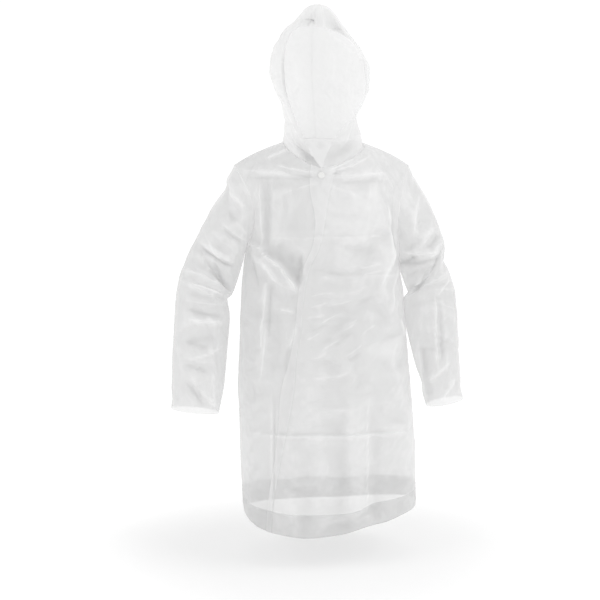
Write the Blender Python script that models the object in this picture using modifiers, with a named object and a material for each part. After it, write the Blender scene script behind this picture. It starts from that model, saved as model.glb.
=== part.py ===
"""A sleeved rain poncho of thin milky film, in its worn shape with nobody in it.

The coat is cut as a hooded raincoat: two lapped fronts, a back, two set-in sleeves and a hood in two
halves, closed by one snap at the neck.

Frame: metres, +Z up. The front faces -Y and +X is the wearer's left. The origin lies between the
shoulders, at the height where the coat rests on them.
"""

import math
from typing import NamedTuple

import bpy
import numpy as np
from mathutils import Vector

# ---------------------------------------------------------------- driving sizes

WALL = 0.0012  # thickness that stands for one layer of film
HEM_WALL = 0.0024  # the turned-up hem is two layers
SEAM_GAP = 0.0003  # clear gap between pieces that are welded together
LAP_GAP = 0.0012  # clear gap between the lapped fronts
LAP_TOP = 0.10  # how far past the middle each front reaches at the neckline, as a share of its half
LAP_ACROSS = -0.20  # place across the front, as a share of its half, where the edges' heights are read
LAP_BLEND_FROM = 1.6  # rise above which the free edges run to their places on the neckline
LAP_RAMP = 0.022  # width over which the under front steps inwards below the upper one
HEM_DEPTH = 0.055  # height of the turned-up hem
WELD_STEP = 0.003  # height over which the hem's second layer ends
SHARP_ANGLE = math.radians(60)  # edges that turn more than this are shaded sharp
SAME_PLACE = 0.00001  # points closer than this are one place on a seam
OPEN_CORNER = 0.15  # sum of two sines above which a seam is an inward corner

SHOULDER_TIP = (0.228, 0.004, -0.045)  # outer end of the shoulder seam, mirrored for the other side
NECK_SIDE = (0.103, 0.000, 0.014)  # where hood, front and back meet
NECK_FRONT = (-0.021, -0.126, -0.052)  # lowest point of the neckline, above the snap
NECK_BACK = (-0.006, 0.085, 0.026)  # nape
NECK_SHARE = 0.45  # share of half a panel's width that lies on the neckline
NECK_CURVE = 1.25  # how late the neckline rises to the sides, as a power
SHOULDER_DROOP = 0.25  # share of the shoulder seam's fall that it keeps for its outer end
CHEST_DEPTH = 0.85  # how roundly the panels lean in to the shoulders, as powers
CHEST_RISE = 0.90

UNDERARM_RIGHT = -0.262  # heights of the two underarm points
UNDERARM_LEFT = -0.308

ARMHOLE_FRONT = 0.068  # how far the armhole curves forward of the side seam
ARMHOLE_BACK = 0.072
ARMHOLE_CUT = 0.028  # how far it curves inwards
ARMHOLE_PULL = 2.2  # how soon the panels give way to the armhole, as a power of the width

SNAP_PLACE = (-0.025, -0.072)  # X and Z of the snap's axis
SNAP_RADIUS = 0.008
SNAP_HEIGHT = 0.0024
SOCKET_RADIUS = 0.0065
SOCKET_HEIGHT = 0.0020
SNAP_STEPS = 24
SNAP_CLEAR = 0.0006  # clear gap between the cap's rim and the slightly curved film
SOCKET_CLEAR = 0.0014
SOCKET_DEPTH = 2 * WALL + LAP_GAP + SOCKET_CLEAR + SOCKET_HEIGHT  # from the upper film to its base

SAMPLES = 181  # places at which a surface is sampled to find one of its points
SAMPLED_WIDTH = 0.9

NECK_COLUMNS_FRONT = 8
NECK_COLUMNS_BACK = 6
SHOULDER_COLUMNS = 10
ROWS_BELOW = 20
ROWS_ABOVE = 10
SLEEVE_ROWS = 20
HOOD_ROWS = 14


class HemPoint(NamedTuple):
    """Height of the hem at one place across: -1 is the wearer's right side seam, 1 the left one."""

    across: float
    front: float
    back: float


HEM_POINTS = (
    HemPoint(-1.00, -0.958, -0.958),
    HemPoint(-0.70, -0.974, -0.964),
    HemPoint(-0.40, -0.979, -0.966),
    HemPoint(-0.10, -0.984, -0.969),
    HemPoint(0.15, -0.983, -0.970),
    HemPoint(0.35, -0.970, -0.966),
    HemPoint(0.55, -0.965, -0.964),
    HemPoint(0.80, -0.954, -0.955),
    HemPoint(1.00, -0.942, -0.942),
)


SKIRT_HEIGHT = UNDERARM_RIGHT - HEM_POINTS[0].front
HEM_RISE = HEM_DEPTH / SKIRT_HEIGHT  # rise of the hem's weld, 0 being the hem and 1 the underarm
WELD_RISE = WELD_STEP / SKIRT_HEIGHT


class BodyRing(NamedTuple):
    """Half sizes of the body at one height."""

    height: float
    right: float
    left: float
    front: float
    back: float
    square: float  # power of the outline: 2 is an ellipse


BODY_RINGS = (
    BodyRing(-1.000, 0.206, 0.248, 0.166, 0.168, 2.4),
    BodyRing(-0.910, 0.212, 0.246, 0.165, 0.166, 2.4),
    BodyRing(-0.810, 0.217, 0.244, 0.164, 0.163, 2.4),
    BodyRing(-0.710, 0.219, 0.239, 0.162, 0.160, 2.4),
    BodyRing(-0.600, 0.222, 0.229, 0.159, 0.156, 2.4),
    BodyRing(-0.500, 0.217, 0.221, 0.156, 0.152, 2.3),
    BodyRing(-0.390, 0.213, 0.212, 0.153, 0.149, 2.3),
    BodyRing(-0.320, 0.207, 0.203, 0.151, 0.147, 2.2),
    BodyRing(-0.240, 0.196, 0.190, 0.149, 0.146, 2.2),
)


class FreeEdge(NamedTuple):
    """Where the two fronts' free edges hang: X of the upper front's and of the under front's."""

    height: float
    upper: float
    under: float


FREE_EDGES = (
    FreeEdge(-1.000, -0.165, -0.153),
    FreeEdge(-0.900, -0.158, -0.146),
    FreeEdge(-0.800, -0.145, -0.130),
    FreeEdge(-0.700, -0.134, -0.111),
    FreeEdge(-0.610, -0.127, -0.095),
    FreeEdge(-0.520, -0.104, -0.088),
    FreeEdge(-0.460, -0.093, -0.077),
    FreeEdge(-0.380, -0.085, -0.070),
    FreeEdge(-0.300, -0.071, -0.054),
    FreeEdge(-0.244, -0.049, -0.030),
    FreeEdge(-0.178, -0.041, -0.016),
    FreeEdge(-0.100, -0.053, -0.002),
    FreeEdge(-0.060, -0.053, 0.010),
)


class SleeveSection(NamedTuple):
    """One section across a sleeve: its outer and inner points, its half depth and its middle's Y."""

    outer_x: float
    outer_z: float
    inner_x: float
    inner_z: float
    depth: float
    forward: float


SLEEVE_RIGHT = (
    SleeveSection(0.228, -0.045, 0.199, -0.262, 0.070, 0.004),
    SleeveSection(0.254, -0.095, 0.207, -0.278, 0.076, 0.004),
    SleeveSection(0.280, -0.145, 0.216, -0.296, 0.078, 0.002),
    SleeveSection(0.301, -0.196, 0.224, -0.315, 0.076, 0.000),
    SleeveSection(0.325, -0.247, 0.232, -0.336, 0.073, -0.002),
    SleeveSection(0.346, -0.290, 0.240, -0.358, 0.070, -0.004),
    SleeveSection(0.361, -0.330, 0.246, -0.380, 0.068, -0.007),
    SleeveSection(0.370, -0.366, 0.249, -0.402, 0.066, -0.010),
    SleeveSection(0.377, -0.415, 0.248, -0.440, 0.062, -0.015),
    SleeveSection(0.383, -0.478, 0.254, -0.500, 0.058, -0.021),
    SleeveSection(0.391, -0.567, 0.261, -0.576, 0.052, -0.030),
    SleeveSection(0.395, -0.630, 0.269, -0.638, 0.048, -0.037),
    SleeveSection(0.398, -0.662, 0.276, -0.677, 0.046, -0.041),
)
SLEEVE_LEFT = (
    SleeveSection(0.228, -0.045, 0.200, -0.308, 0.070, 0.004),
    SleeveSection(0.250, -0.088, 0.208, -0.320, 0.076, 0.004),
    SleeveSection(0.276, -0.135, 0.216, -0.333, 0.078, 0.002),
    SleeveSection(0.300, -0.187, 0.223, -0.346, 0.077, 0.000),
    SleeveSection(0.322, -0.240, 0.229, -0.360, 0.073, -0.002),
    SleeveSection(0.331, -0.296, 0.234, -0.378, 0.069, -0.005),
    SleeveSection(0.342, -0.350, 0.225, -0.400, 0.066, -0.009),
    SleeveSection(0.349, -0.405, 0.225, -0.434, 0.062, -0.014),
    SleeveSection(0.354, -0.460, 0.231, -0.480, 0.058, -0.020),
    SleeveSection(0.359, -0.520, 0.241, -0.530, 0.054, -0.026),
    SleeveSection(0.361, -0.580, 0.252, -0.590, 0.050, -0.032),
    SleeveSection(0.364, -0.631, 0.262, -0.641, 0.047, -0.037),
    SleeveSection(0.371, -0.656, 0.271, -0.676, 0.045, -0.041),
)


class HoodSection(NamedTuple):
    """One strip of half a hood, from its rim past its side to the middle seam."""

    rim_right: float  # distance of the rim from the middle on the wearer's right
    rim_left: float
    rim_y: float
    rim_z: float
    side_x: float
    side_y: float
    side_z: float
    seam_y: float
    seam_z: float


HOOD_SECTIONS = (
    HoodSection(0.000, 0.000, -0.126, -0.052, 0.103, 0.000, 0.014, 0.085, 0.026),
    HoodSection(0.033, 0.012, -0.127, -0.012, 0.098, -0.006, 0.046, 0.082, 0.058),
    HoodSection(0.060, 0.034, -0.124, 0.036, 0.093, -0.010, 0.084, 0.088, 0.102),
    HoodSection(0.083, 0.080, -0.117, 0.086, 0.100, -0.010, 0.126, 0.104, 0.152),
    HoodSection(0.098, 0.100, -0.109, 0.136, 0.117, -0.006, 0.170, 0.119, 0.206),
    HoodSection(0.102, 0.101, -0.102, 0.186, 0.123, 0.000, 0.214, 0.120, 0.262),
    HoodSection(0.099, 0.097, -0.097, 0.226, 0.110, 0.002, 0.254, 0.103, 0.312),
    HoodSection(0.089, 0.089, -0.094, 0.252, 0.083, -0.016, 0.290, 0.066, 0.348),
    HoodSection(0.078, 0.078, -0.093, 0.267, 0.054, -0.046, 0.315, 0.012, 0.363),
    HoodSection(0.069, 0.069, -0.094, 0.276, 0.039, -0.074, 0.315, -0.048, 0.348),
    HoodSection(0.062, 0.062, -0.096, 0.280, 0.032, -0.098, 0.290, -0.099, 0.292),
)
HOOD_LEFT_SHARE = 0.96  # the hood leans to the wearer's right, so its left side bulges less
HOOD_MIDDLE = -0.010  # X of the hood's middle seam
HOOD_ROUND = 1.25  # how roundly the sides meet at the middle seam
HOOD_TILT = 0.20  # how much its rim leans down to the wearer's left, as a slope
HOOD_TILT_FROM = 0.19  # height where that lean sets in
HOOD_TILT_RISE = 0.08
HOOD_TILT_BEHIND = 0.02  # Y where the lean has died out
HOOD_TILT_DEPTH = 0.09
HOOD_BLEND = 3  # sections over which the hood leaves the neckline's own shape


class Fold(NamedTuple):
    """A soft fold in a panel, from one point (X, Z) to another: half width and height outwards."""

    from_x: float
    from_z: float
    to_x: float
    to_z: float
    width: float
    height: float


FRONT_FOLDS = (
    Fold(-0.188, -0.262, -0.100, -0.362, 0.020, 0.018),  # diagonal ridge from the right underarm
    Fold(-0.140, -0.235, -0.092, -0.286, 0.024, -0.012),  # hollow above it
    Fold(-0.160, -0.330, -0.180, -0.600, 0.022, 0.011),  # long fold under it
    Fold(-0.128, -0.400, -0.140, -0.580, 0.020, -0.009),
    Fold(0.020, -0.080, 0.150, -0.066, 0.022, 0.008),  # pulls from the snap to the shoulders
    Fold(-0.065, -0.076, -0.190, -0.064, 0.020, 0.009),
    Fold(0.175, -0.230, 0.110, -0.400, 0.026, 0.012),  # drape from the left underarm
    Fold(0.120, -0.200, 0.070, -0.330, 0.024, -0.008),
    Fold(0.160, -0.500, 0.205, -0.970, 0.034, 0.014),  # flutes that open towards the hem
    Fold(0.105, -0.620, 0.120, -0.970, 0.026, -0.010),
    Fold(0.050, -0.640, 0.060, -0.970, 0.030, 0.009),
    Fold(-0.060, -0.700, -0.070, -0.970, 0.030, -0.009),
    Fold(-0.187, -0.700, -0.190, -0.960, 0.024, 0.010),
)
BACK_FOLDS = (
    Fold(-0.140, -0.110, -0.060, -0.340, 0.030, 0.012),  # drape below the right shoulder blade
    Fold(0.140, -0.100, 0.050, -0.350, 0.030, 0.012),
    Fold(0.175, -0.290, 0.090, -0.430, 0.026, 0.013),
    Fold(-0.175, -0.255, -0.100, -0.410, 0.026, 0.013),
    Fold(-0.125, -0.450, -0.145, -0.970, 0.034, 0.016),  # flutes down to the hem
    Fold(-0.060, -0.560, -0.070, -0.970, 0.030, -0.010),
    Fold(0.010, -0.480, 0.000, -0.970, 0.036, 0.014),
    Fold(0.080, -0.600, 0.085, -0.970, 0.028, -0.010),
    Fold(0.145, -0.500, 0.160, -0.970, 0.034, 0.016),
)


FOLD_REACH = 0.10  # share of its length by which a fold runs past both ends
FOLD_TAPER = 0.35  # share of its length over which it rises and dies out
CALM_ROWS = 3  # grid rows and columns next to a seam in which folds die out
CALM_COLUMNS = 2


class SleeveFold(NamedTuple):
    """A fold across a sleeve: its place along the sleeve and round it, both as shares."""

    along: float
    slope: float  # how far it climbs along the sleeve, going once round it
    middle: float  # place round the sleeve, from the underarm by way of the front
    spread: float
    width: float
    height: float


SLEEVE_FOLDS_RIGHT = (
    SleeveFold(0.22, 0.20, 0.40, 0.26, 0.034, 0.011),
    SleeveFold(0.38, -0.26, 0.30, 0.24, 0.030, -0.012),  # the crook of the elbow
    SleeveFold(0.46, 0.10, 0.36, 0.26, 0.028, 0.011),
    SleeveFold(0.56, -0.12, 0.30, 0.24, 0.026, 0.008),
    SleeveFold(0.70, 0.14, 0.34, 0.24, 0.030, 0.008),
    SleeveFold(0.42, 0.10, 0.78, 0.24, 0.040, -0.009),
    SleeveFold(0.84, -0.20, 0.24, 0.22, 0.034, 0.006),
)
SLEEVE_FOLDS_LEFT = (
    SleeveFold(0.20, 0.18, 0.38, 0.26, 0.034, 0.011),
    SleeveFold(0.36, -0.22, 0.26, 0.24, 0.030, -0.013),  # the crook of the elbow
    SleeveFold(0.44, 0.12, 0.34, 0.26, 0.028, 0.011),
    SleeveFold(0.60, 0.30, 0.40, 0.20, 0.034, 0.008),
    SleeveFold(0.74, 0.34, 0.34, 0.22, 0.034, -0.007),
    SleeveFold(0.42, 0.10, 0.78, 0.24, 0.040, -0.009),
)

SLEEVES = {
    -1: ("sleeve_right", SLEEVE_RIGHT, SLEEVE_FOLDS_RIGHT),
    1: ("sleeve_left", SLEEVE_LEFT, SLEEVE_FOLDS_LEFT),
}
SLEEVE_BLEND = 0.40  # share of its length over which a sleeve leaves the armhole's own shape
SLEEVE_CALM = 0.12  # share of its length next to the armhole in which folds die out

FILM_COLOUR = (0.86, 0.87, 0.88, 1.0)
SNAP_COLOUR = (0.93, 0.93, 0.93, 1.0)


# ---------------------------------------------------------------- curves


def through_rows(rows, at):
    """Smooth columns of a table at places `at` along its first column, row slopes shared."""
    table = np.array(rows, dtype=float)
    knots = table[:, 0]
    slopes = np.gradient(table, knots, axis=0)
    at = np.clip(at, knots[0], knots[-1])
    low = np.clip(np.searchsorted(knots, at, side="right") - 1, 0, len(knots) - 2)
    step = (knots[low + 1] - knots[low])[..., None]
    part = (at - knots[low])[..., None] / step
    rest = 1 - part
    start = table[low] * rest**2 * (1 + 2 * part) + slopes[low] * step * rest**2 * part
    end = table[low + 1] * part**2 * (1 + 2 * rest) - slopes[low + 1] * step * part**2 * rest
    return start + end


def numbered(rows):
    """The same table with the row's number put in front of each row."""
    return [(number, *row) for number, row in enumerate(rows)]


def ease(value):
    """0 below 0, 1 above 1 and a smooth step between."""
    value = np.clip(value, 0.0, 1.0)
    return value * value * (3 - 2 * value)


def stack(x, y, z):
    """Points from three arrays of one shape."""
    return np.stack(np.broadcast_arrays(x, y, z), axis=-1)


def unit(vectors):
    """The vectors at length one."""
    return vectors / np.maximum(np.linalg.norm(vectors, axis=-1, keepdims=True), 1e-12)


# ---------------------------------------------------------------- body surface
# across runs from -1, the wearer's right side, through 0, the middle, to 1, the left side.
# rise runs from 0, the hem, through 1, the underarm, to 2, the shoulder seam and neckline.
# face is -1 for the front and 1 for the back.


def underarm(across):
    """Height of the line that joins the underarms."""
    return UNDERARM_RIGHT + (UNDERARM_LEFT - UNDERARM_RIGHT) * (across + 1) / 2


def hem_height(across, face):
    """Height of the hem's edge."""
    return through_rows(HEM_POINTS, across)[..., 1 if face < 0 else 2]


def body_ring(across, height, face):
    """Point of the body's outline at a height: a superellipse quarter on each side."""
    sizes = through_rows(BODY_RINGS, height)
    side = np.where(across < 0, sizes[..., 1], sizes[..., 2])
    depth = sizes[..., 3] if face < 0 else sizes[..., 4]
    power = 2 / sizes[..., 5]
    angle = np.abs(across) * math.pi / 2
    x = np.sign(across) * side * np.sin(angle) ** power
    y = face * depth * np.abs(np.cos(angle)) ** power
    return stack(x, y, height)


def top_line(across, face):
    """The upper edge of a panel: half the neckline in its middle, the shoulder seam outside it."""
    middle = NECK_FRONT if face < 0 else NECK_BACK
    way = np.sign(across)
    share = np.clip(np.abs(across) / NECK_SHARE, 0, 1)
    angle = share * math.pi / 2
    neck_x = middle[0] + (way * NECK_SIDE[0] - middle[0]) * np.sin(angle)
    neck_y = NECK_SIDE[1] + (middle[1] - NECK_SIDE[1]) * np.cos(angle)
    neck_z = middle[2] + (NECK_SIDE[2] - middle[2]) * share**NECK_CURVE
    out = np.clip((np.abs(across) - NECK_SHARE) / (1 - NECK_SHARE), 0, 1)
    seam_x = way * (NECK_SIDE[0] + (SHOULDER_TIP[0] - NECK_SIDE[0]) * out)
    seam_y = NECK_SIDE[1] + (SHOULDER_TIP[1] - NECK_SIDE[1]) * out
    drop = (1 - SHOULDER_DROOP) * out + SHOULDER_DROOP * out**3
    seam_z = NECK_SIDE[2] + (SHOULDER_TIP[2] - NECK_SIDE[2]) * drop
    on_neck = np.abs(across) < NECK_SHARE
    x = np.where(on_neck, neck_x, seam_x)
    y = np.where(on_neck, neck_y, seam_y)
    z = np.where(on_neck, neck_z, seam_z)
    return stack(x, y, z)


def armhole(way, climb, face):
    """The armhole's edge on side `way`, from the underarm (climb 0) to the shoulder tip (climb 1)."""
    low = body_ring(np.asarray(float(way)), underarm(way), face)
    high = np.array((way * SHOULDER_TIP[0], SHOULDER_TIP[1], SHOULDER_TIP[2]))
    climb = np.asarray(climb)[..., None]
    bow = np.sin(climb * math.pi)
    reach = ARMHOLE_FRONT if face < 0 else ARMHOLE_BACK
    bulge = np.array((-way * ARMHOLE_CUT, face * reach, 0.0))
    return low + (high - low) * climb + bulge * bow


def leaned(low, top, climb):
    """Points between the underarm line and the top line: upright at first, then leaning in."""
    turn = climb * math.pi / 2
    x = low[..., 0] + (top[..., 0] - low[..., 0]) * climb
    y = top[..., 1] + (low[..., 1] - top[..., 1]) * np.cos(turn) ** CHEST_DEPTH
    z = low[..., 2] + (top[..., 2] - low[..., 2]) * np.sin(turn) ** CHEST_RISE
    return stack(x, y, z)


def body_base(across, rise, face):
    """The panel's surface before its folds; near its sides it gives way to the armhole's edge."""
    across, rise = np.broadcast_arrays(across, rise)
    hem = hem_height(across, face)
    height = hem + (underarm(across) - hem) * np.clip(rise, 0, 1)
    climb = np.clip(rise - 1, 0, 1)
    points = leaned(body_ring(across, height, face), top_line(across, face), climb)
    for way in (-1, 1):
        end = np.asarray(float(way))
        side = leaned(body_ring(end, underarm(way), face), top_line(end, face), climb)
        pull = np.where(across * way > 0, np.abs(across) ** ARMHOLE_PULL, 0.0) * (climb > 0)
        points = points + (armhole(way, climb, face) - side) * pull[..., None]
    return points


def fold_height(x, z, folds):
    """How far the folds lift the panel: each is a bell across its line, tapered at both ends."""
    lift = np.zeros_like(x)
    for fold in folds:
        run_x = fold.to_x - fold.from_x
        run_z = fold.to_z - fold.from_z
        length = math.hypot(run_x, run_z)
        along = ((x - fold.from_x) * run_x + (z - fold.from_z) * run_z) / length**2
        aside = ((x - fold.from_x) * run_z - (z - fold.from_z) * run_x) / length
        before = ease((along + FOLD_REACH) / FOLD_TAPER)
        after = ease((1 + FOLD_REACH - along) / FOLD_TAPER)
        lift += fold.height * before * after * np.exp(-((aside / fold.width) ** 2))
    return lift


def surface_normals(points, wrap):
    """Unit normals of a grid of points, to the side that (row step) x (column step) gives."""
    rows = np.gradient(points, axis=0)
    if wrap:
        columns = np.roll(points, -1, axis=1) - np.roll(points, 1, axis=1)
    else:
        columns = np.gradient(points, axis=1)
    return unit(np.cross(columns, rows))


# ---------------------------------------------------------------- pieces


class Piece:
    """A piece of film: a grid of outer points, its outward normals and its thickness at each row."""

    def __init__(self, name, points, outward, wrap=False, thickness=None, seams=()):
        self.name = name
        self.points = points
        self.wrap = wrap
        self.normals = outward * surface_normals(points, wrap)
        self.thickness = np.full(points.shape[0], WALL) if thickness is None else thickness
        self.seams = seams
        self.outward = outward
        self.inner = points

    def refresh(self):
        """Works the normals out again after the points have moved."""
        self.normals = self.outward * surface_normals(self.points, self.wrap)

    def from_edges(self):
        """At each point on an edge, the direction from it into the piece; zero elsewhere."""
        inwards = np.zeros_like(self.points)
        inwards[0] += unit(self.points[1] - self.points[0])
        inwards[-1] += unit(self.points[-2] - self.points[-1])
        if not self.wrap:
            inwards[:, 0] += unit(self.points[:, 1] - self.points[:, 0])
            inwards[:, -1] += unit(self.points[:, -2] - self.points[:, -1])
        return inwards

    def open_seams(self):
        """Draws the edges that meet another piece back by half the seam's gap."""
        both = (self.points, self.inner)
        for side in self.seams:
            for grid in both:
                rows = grid if side in ("bottom", "top") else grid.swapaxes(0, 1)
                edge, beside = (0, 1) if side in ("bottom", "first") else (-1, -2)
                rows[edge] += unit(rows[beside] - rows[edge]) * SEAM_GAP / 2

    def faces(self):
        """Quads of the outer wall, of the inner wall and of the rim between them, all facing out."""
        rows, columns = self.points.shape[:2]
        number = np.arange(rows * columns).reshape(rows, columns)
        if self.wrap:
            number = np.concatenate([number, number[:, :1]], axis=1)
            loops = [number[0], number[-1, ::-1]]
        else:
            sides = (number[0], number[1:, -1], number[-1, -2::-1], number[-2::-1, 0])
            loops = [np.concatenate(sides)]
        outer = np.stack([number[:-1, :-1], number[:-1, 1:], number[1:, 1:], number[1:, :-1]], axis=-1)
        outer = outer.reshape(-1, 4)
        to_inner = rows * columns
        starts = np.concatenate([loop[:-1] for loop in loops])
        ends = np.concatenate([loop[1:] for loop in loops])
        rim = np.stack([ends, starts, starts + to_inner, ends + to_inner], axis=-1)
        flipped = [0, 3, 2, 1]
        if self.outward > 0:
            return np.concatenate([outer, outer[:, flipped] + to_inner, rim])
        return np.concatenate([outer[:, flipped], outer + to_inner, rim[:, ::-1]])

    def build(self, collection, material):
        """Makes the object from the outer points and the inner ones, one thickness further in."""
        self.inner = self.points - self.normals * self.thickness[:, None, None]
        self.open_seams()
        places = np.concatenate([self.points.reshape(-1, 3), self.inner.reshape(-1, 3)])
        mesh = bpy.data.meshes.new(self.name)
        mesh.from_pydata(places.tolist(), [], self.faces().tolist())
        mesh.shade_smooth()
        mesh.set_sharp_from_angle(angle=SHARP_ANGLE)
        mesh.materials.append(material)
        piece = bpy.data.objects.new(self.name, mesh)
        collection.objects.link(piece)
        split = piece.modifiers.new("same diagonals inside and out", "TRIANGULATE")
        split.quad_method = "FIXED"
        return piece


def rises():
    """Grid rows of the body: the hem, its weld, the body up to the underarm, the part above it."""
    below = np.linspace(HEM_RISE + WELD_RISE, 1.0, ROWS_BELOW)
    above = np.linspace(1.0, 2.0, ROWS_ABOVE + 1)[1:]
    return np.concatenate([[0.0, HEM_RISE / 2, HEM_RISE], below, above])


def wall_rows():
    """Thickness of each row: two layers up to the hem's weld, one layer above it."""
    return np.where(rises() < HEM_RISE + WELD_RISE / 2, HEM_WALL, WALL)


def half_columns(neck_columns):
    """Places across half a panel at its top, from its middle to its side."""
    neck = np.linspace(0, NECK_SHARE, neck_columns + 1)
    shoulder = np.linspace(NECK_SHARE, 1, SHOULDER_COLUMNS + 1)[1:]
    return np.concatenate([neck, shoulder])


def lap_columns():
    """The same for a front: the middle, the lap's edge, and on to the side."""
    neck = np.linspace(LAP_TOP, NECK_SHARE, NECK_COLUMNS_FRONT)
    shoulder = np.linspace(NECK_SHARE, 1, SHOULDER_COLUMNS + 1)[1:]
    return np.concatenate([[0.0], neck, shoulder])


def across_at(x, rise, face):
    """The place across a panel where its surface has a given X, at one rise."""
    samples = np.linspace(-SAMPLED_WIDTH, SAMPLED_WIDTH, SAMPLES)
    return np.interp(x, body_base(samples, rise, face)[..., 0], samples)


def lap(rise):
    """Places across the front of the upper and the under front's free edge at one rise."""
    height = body_base(np.asarray(LAP_ACROSS), rise, -1)[..., 2]
    edges = FreeEdge(*through_rows(FREE_EDGES, height))
    hanging = np.array([across_at(edges.upper, rise, -1), across_at(edges.under, rise, -1)])
    at_top = ease((rise - LAP_BLEND_FROM) / (2 - LAP_BLEND_FROM))
    return hanging * (1 - at_top) + np.array([-LAP_TOP, LAP_TOP]) * at_top


def front_points(side):
    """Outer points of one front; side is -1 for the wearer's right, under front, 1 for the upper.

    Both fronts have the same three columns in the lap, so they stay the same distance apart there.
    """
    onward = (lap_columns()[1:] - LAP_TOP) / (1 - LAP_TOP)
    grid = []
    for rise in rises():
        upper_edge, under_edge = lap(rise)
        own, far = (under_edge, upper_edge) if side < 0 else (upper_edge, under_edge)
        across = np.concatenate([[own, (own + far) / 2], far + (side - far) * onward])
        grid.append(body_base(across, rise, -1))
    return np.array(grid)


def lapped(points, normals):
    """The under front's points, stepped inwards where the upper front covers them."""
    edge = points[:, 2, 0]
    covered = ease((points[..., 0] - edge[:, None] + LAP_RAMP) / LAP_RAMP)
    step = wall_rows() + LAP_GAP
    return points - normals * covered[..., None] * step[:, None, None]


def front_piece(side):
    """One front panel with its folds."""
    points = front_points(side)
    name = "front_right" if side < 0 else "front_left"
    seams = ("last", "top")
    piece = Piece(name, points, outward=side, thickness=wall_rows(), seams=seams)
    lift = fold_height(points[..., 0], points[..., 2], FRONT_FOLDS)
    calm = edge_calm(points.shape, "last")
    piece.points = points + piece.normals * (lift * calm)[..., None]
    piece.refresh()
    return piece


def edge_calm(shape, side_edges):
    """Lets folds die out towards the seams, so that neighbouring pieces still meet there."""
    rows, columns = shape[:2]
    down = ease((rows - 1 - np.arange(rows)) / CALM_ROWS)[:, None]
    place = np.arange(columns)
    side = ease((columns - 1 - place) / CALM_COLUMNS)
    if side_edges == "both":
        side = side * ease(place / CALM_COLUMNS)
    return down * side[None, :]


def back_piece():
    """The back panel with its folds."""
    half = half_columns(NECK_COLUMNS_BACK)
    across = np.concatenate([-half[:0:-1], half])
    points = np.array([body_base(across, rise, 1) for rise in rises()])
    piece = Piece("back", points, outward=-1, thickness=wall_rows(), seams=("first", "last", "top"))
    lift = fold_height(points[..., 0], points[..., 2], BACK_FOLDS)
    piece.points = points + piece.normals * (lift * edge_calm(points.shape, "both"))[..., None]
    piece.refresh()
    return piece


def sleeve_rings(sections, side, places, round_places):
    """Elliptical sections along a sleeve; round_places run from the underarm by way of the front."""
    sizes = through_rows(numbered(sections), places * (len(sections) - 1))
    outer_x, outer_z, inner_x, inner_z, depth, forward = sizes.T[1:, :, None]
    turn = round_places[None, :] * 2 * math.pi
    swing = (1 - np.cos(turn)) / 2
    x = side * (inner_x + (outer_x - inner_x) * swing)
    z = inner_z + (outer_z - inner_z) * swing
    y = forward - depth * np.sin(turn)
    return stack(x, y, z)


def sleeve_piece(side):
    """A sleeve: it starts on the armhole's own edge and turns into rounded sections."""
    name, sections, folds = SLEEVES[side]
    climbs = np.linspace(0, 1, ROWS_ABOVE + 1)
    front = armhole(side, climbs, -1)
    back = armhole(side, climbs[::-1], 1)
    edge = np.concatenate([front, back[1:-1]])
    columns = len(edge)
    round_places = np.arange(columns) / columns
    places = np.linspace(0, 1, SLEEVE_ROWS + 1)
    points = sleeve_rings(sections, side, places, round_places)
    fade = 1 - ease(places / SLEEVE_BLEND)
    points = points + (edge - points[0])[None] * fade[:, None, None]
    piece = Piece(name, points, outward=-side, wrap=True, seams=("bottom",))
    lift = np.zeros(points.shape[:2])
    for fold in folds:
        off = (round_places[None, :] - fold.middle + 0.5) % 1 - 0.5
        line = places[:, None] - fold.along - fold.slope * off
        lift += fold.height * np.exp(-((line / fold.width) ** 2) - (off / fold.spread) ** 2)
    lift = lift * ease(places / SLEEVE_CALM)[:, None]
    piece.points = points + piece.normals * lift[..., None]
    piece.refresh()
    return piece


def hood_strip(section, side, along):
    """One strip of half a hood: a curve from the rim by way of the side to the middle seam."""
    rim_x = section.rim_right if side < 0 else section.rim_left
    side_x = section.side_x if side < 0 else section.side_x * HOOD_LEFT_SHARE
    rim = np.array((HOOD_MIDDLE + side * rim_x, section.rim_y, section.rim_z))
    flank = np.array((HOOD_MIDDLE + side * side_x, section.side_y, section.side_z))
    seam = np.array((HOOD_MIDDLE, section.seam_y, section.seam_z))
    across_flank = (seam - rim) / 2
    across_seam = np.array((-side * HOOD_ROUND * np.linalg.norm(seam - flank), 0.0, 0.0))
    from_rim = (flank - rim) * 2 - across_flank
    first = along <= 0.5
    part = np.where(first, along * 2, along * 2 - 1)[:, None]
    rest = 1 - part
    blends = (rest**2 * (1 + 2 * part), rest**2 * part, part**2 * (1 + 2 * rest), -(part**2) * rest)
    to_flank = rim * blends[0] + from_rim * 0.5 * blends[1] + flank * blends[2] + across_flank * blends[3]
    to_seam = flank * blends[0] + across_flank * blends[1] + seam * blends[2] + across_seam * blends[3]
    return np.where(first[:, None], to_flank, to_seam)


def hood_piece(side, neck_edge):
    """Half a hood, from the neckline's own edge to the top of the face opening."""
    front = np.linspace(0, 0.5, NECK_COLUMNS_FRONT + 1)
    behind = np.linspace(0.5, 1, NECK_COLUMNS_BACK + 1)[1:]
    along = np.concatenate([front, behind])
    last = len(HOOD_SECTIONS) - 1
    rows = np.linspace(0, last, HOOD_ROWS + 1)
    table = through_rows(numbered(HOOD_SECTIONS), rows)
    points = np.array([hood_strip(HoodSection(*row[1:]), side, along) for row in table])
    lean = ease((points[..., 2] - HOOD_TILT_FROM) / HOOD_TILT_RISE)
    lean = lean * ease((HOOD_TILT_BEHIND - points[..., 1]) / HOOD_TILT_DEPTH)
    points[..., 2] -= lean * HOOD_TILT * (points[..., 0] - HOOD_MIDDLE)
    fade = (1 - ease(rows / HOOD_BLEND))[:, None, None]
    points = points + (neck_edge - points[0])[None] * fade
    name = "hood_right" if side < 0 else "hood_left"
    return Piece(name, points, outward=side, seams=("bottom", "last"))


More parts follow.
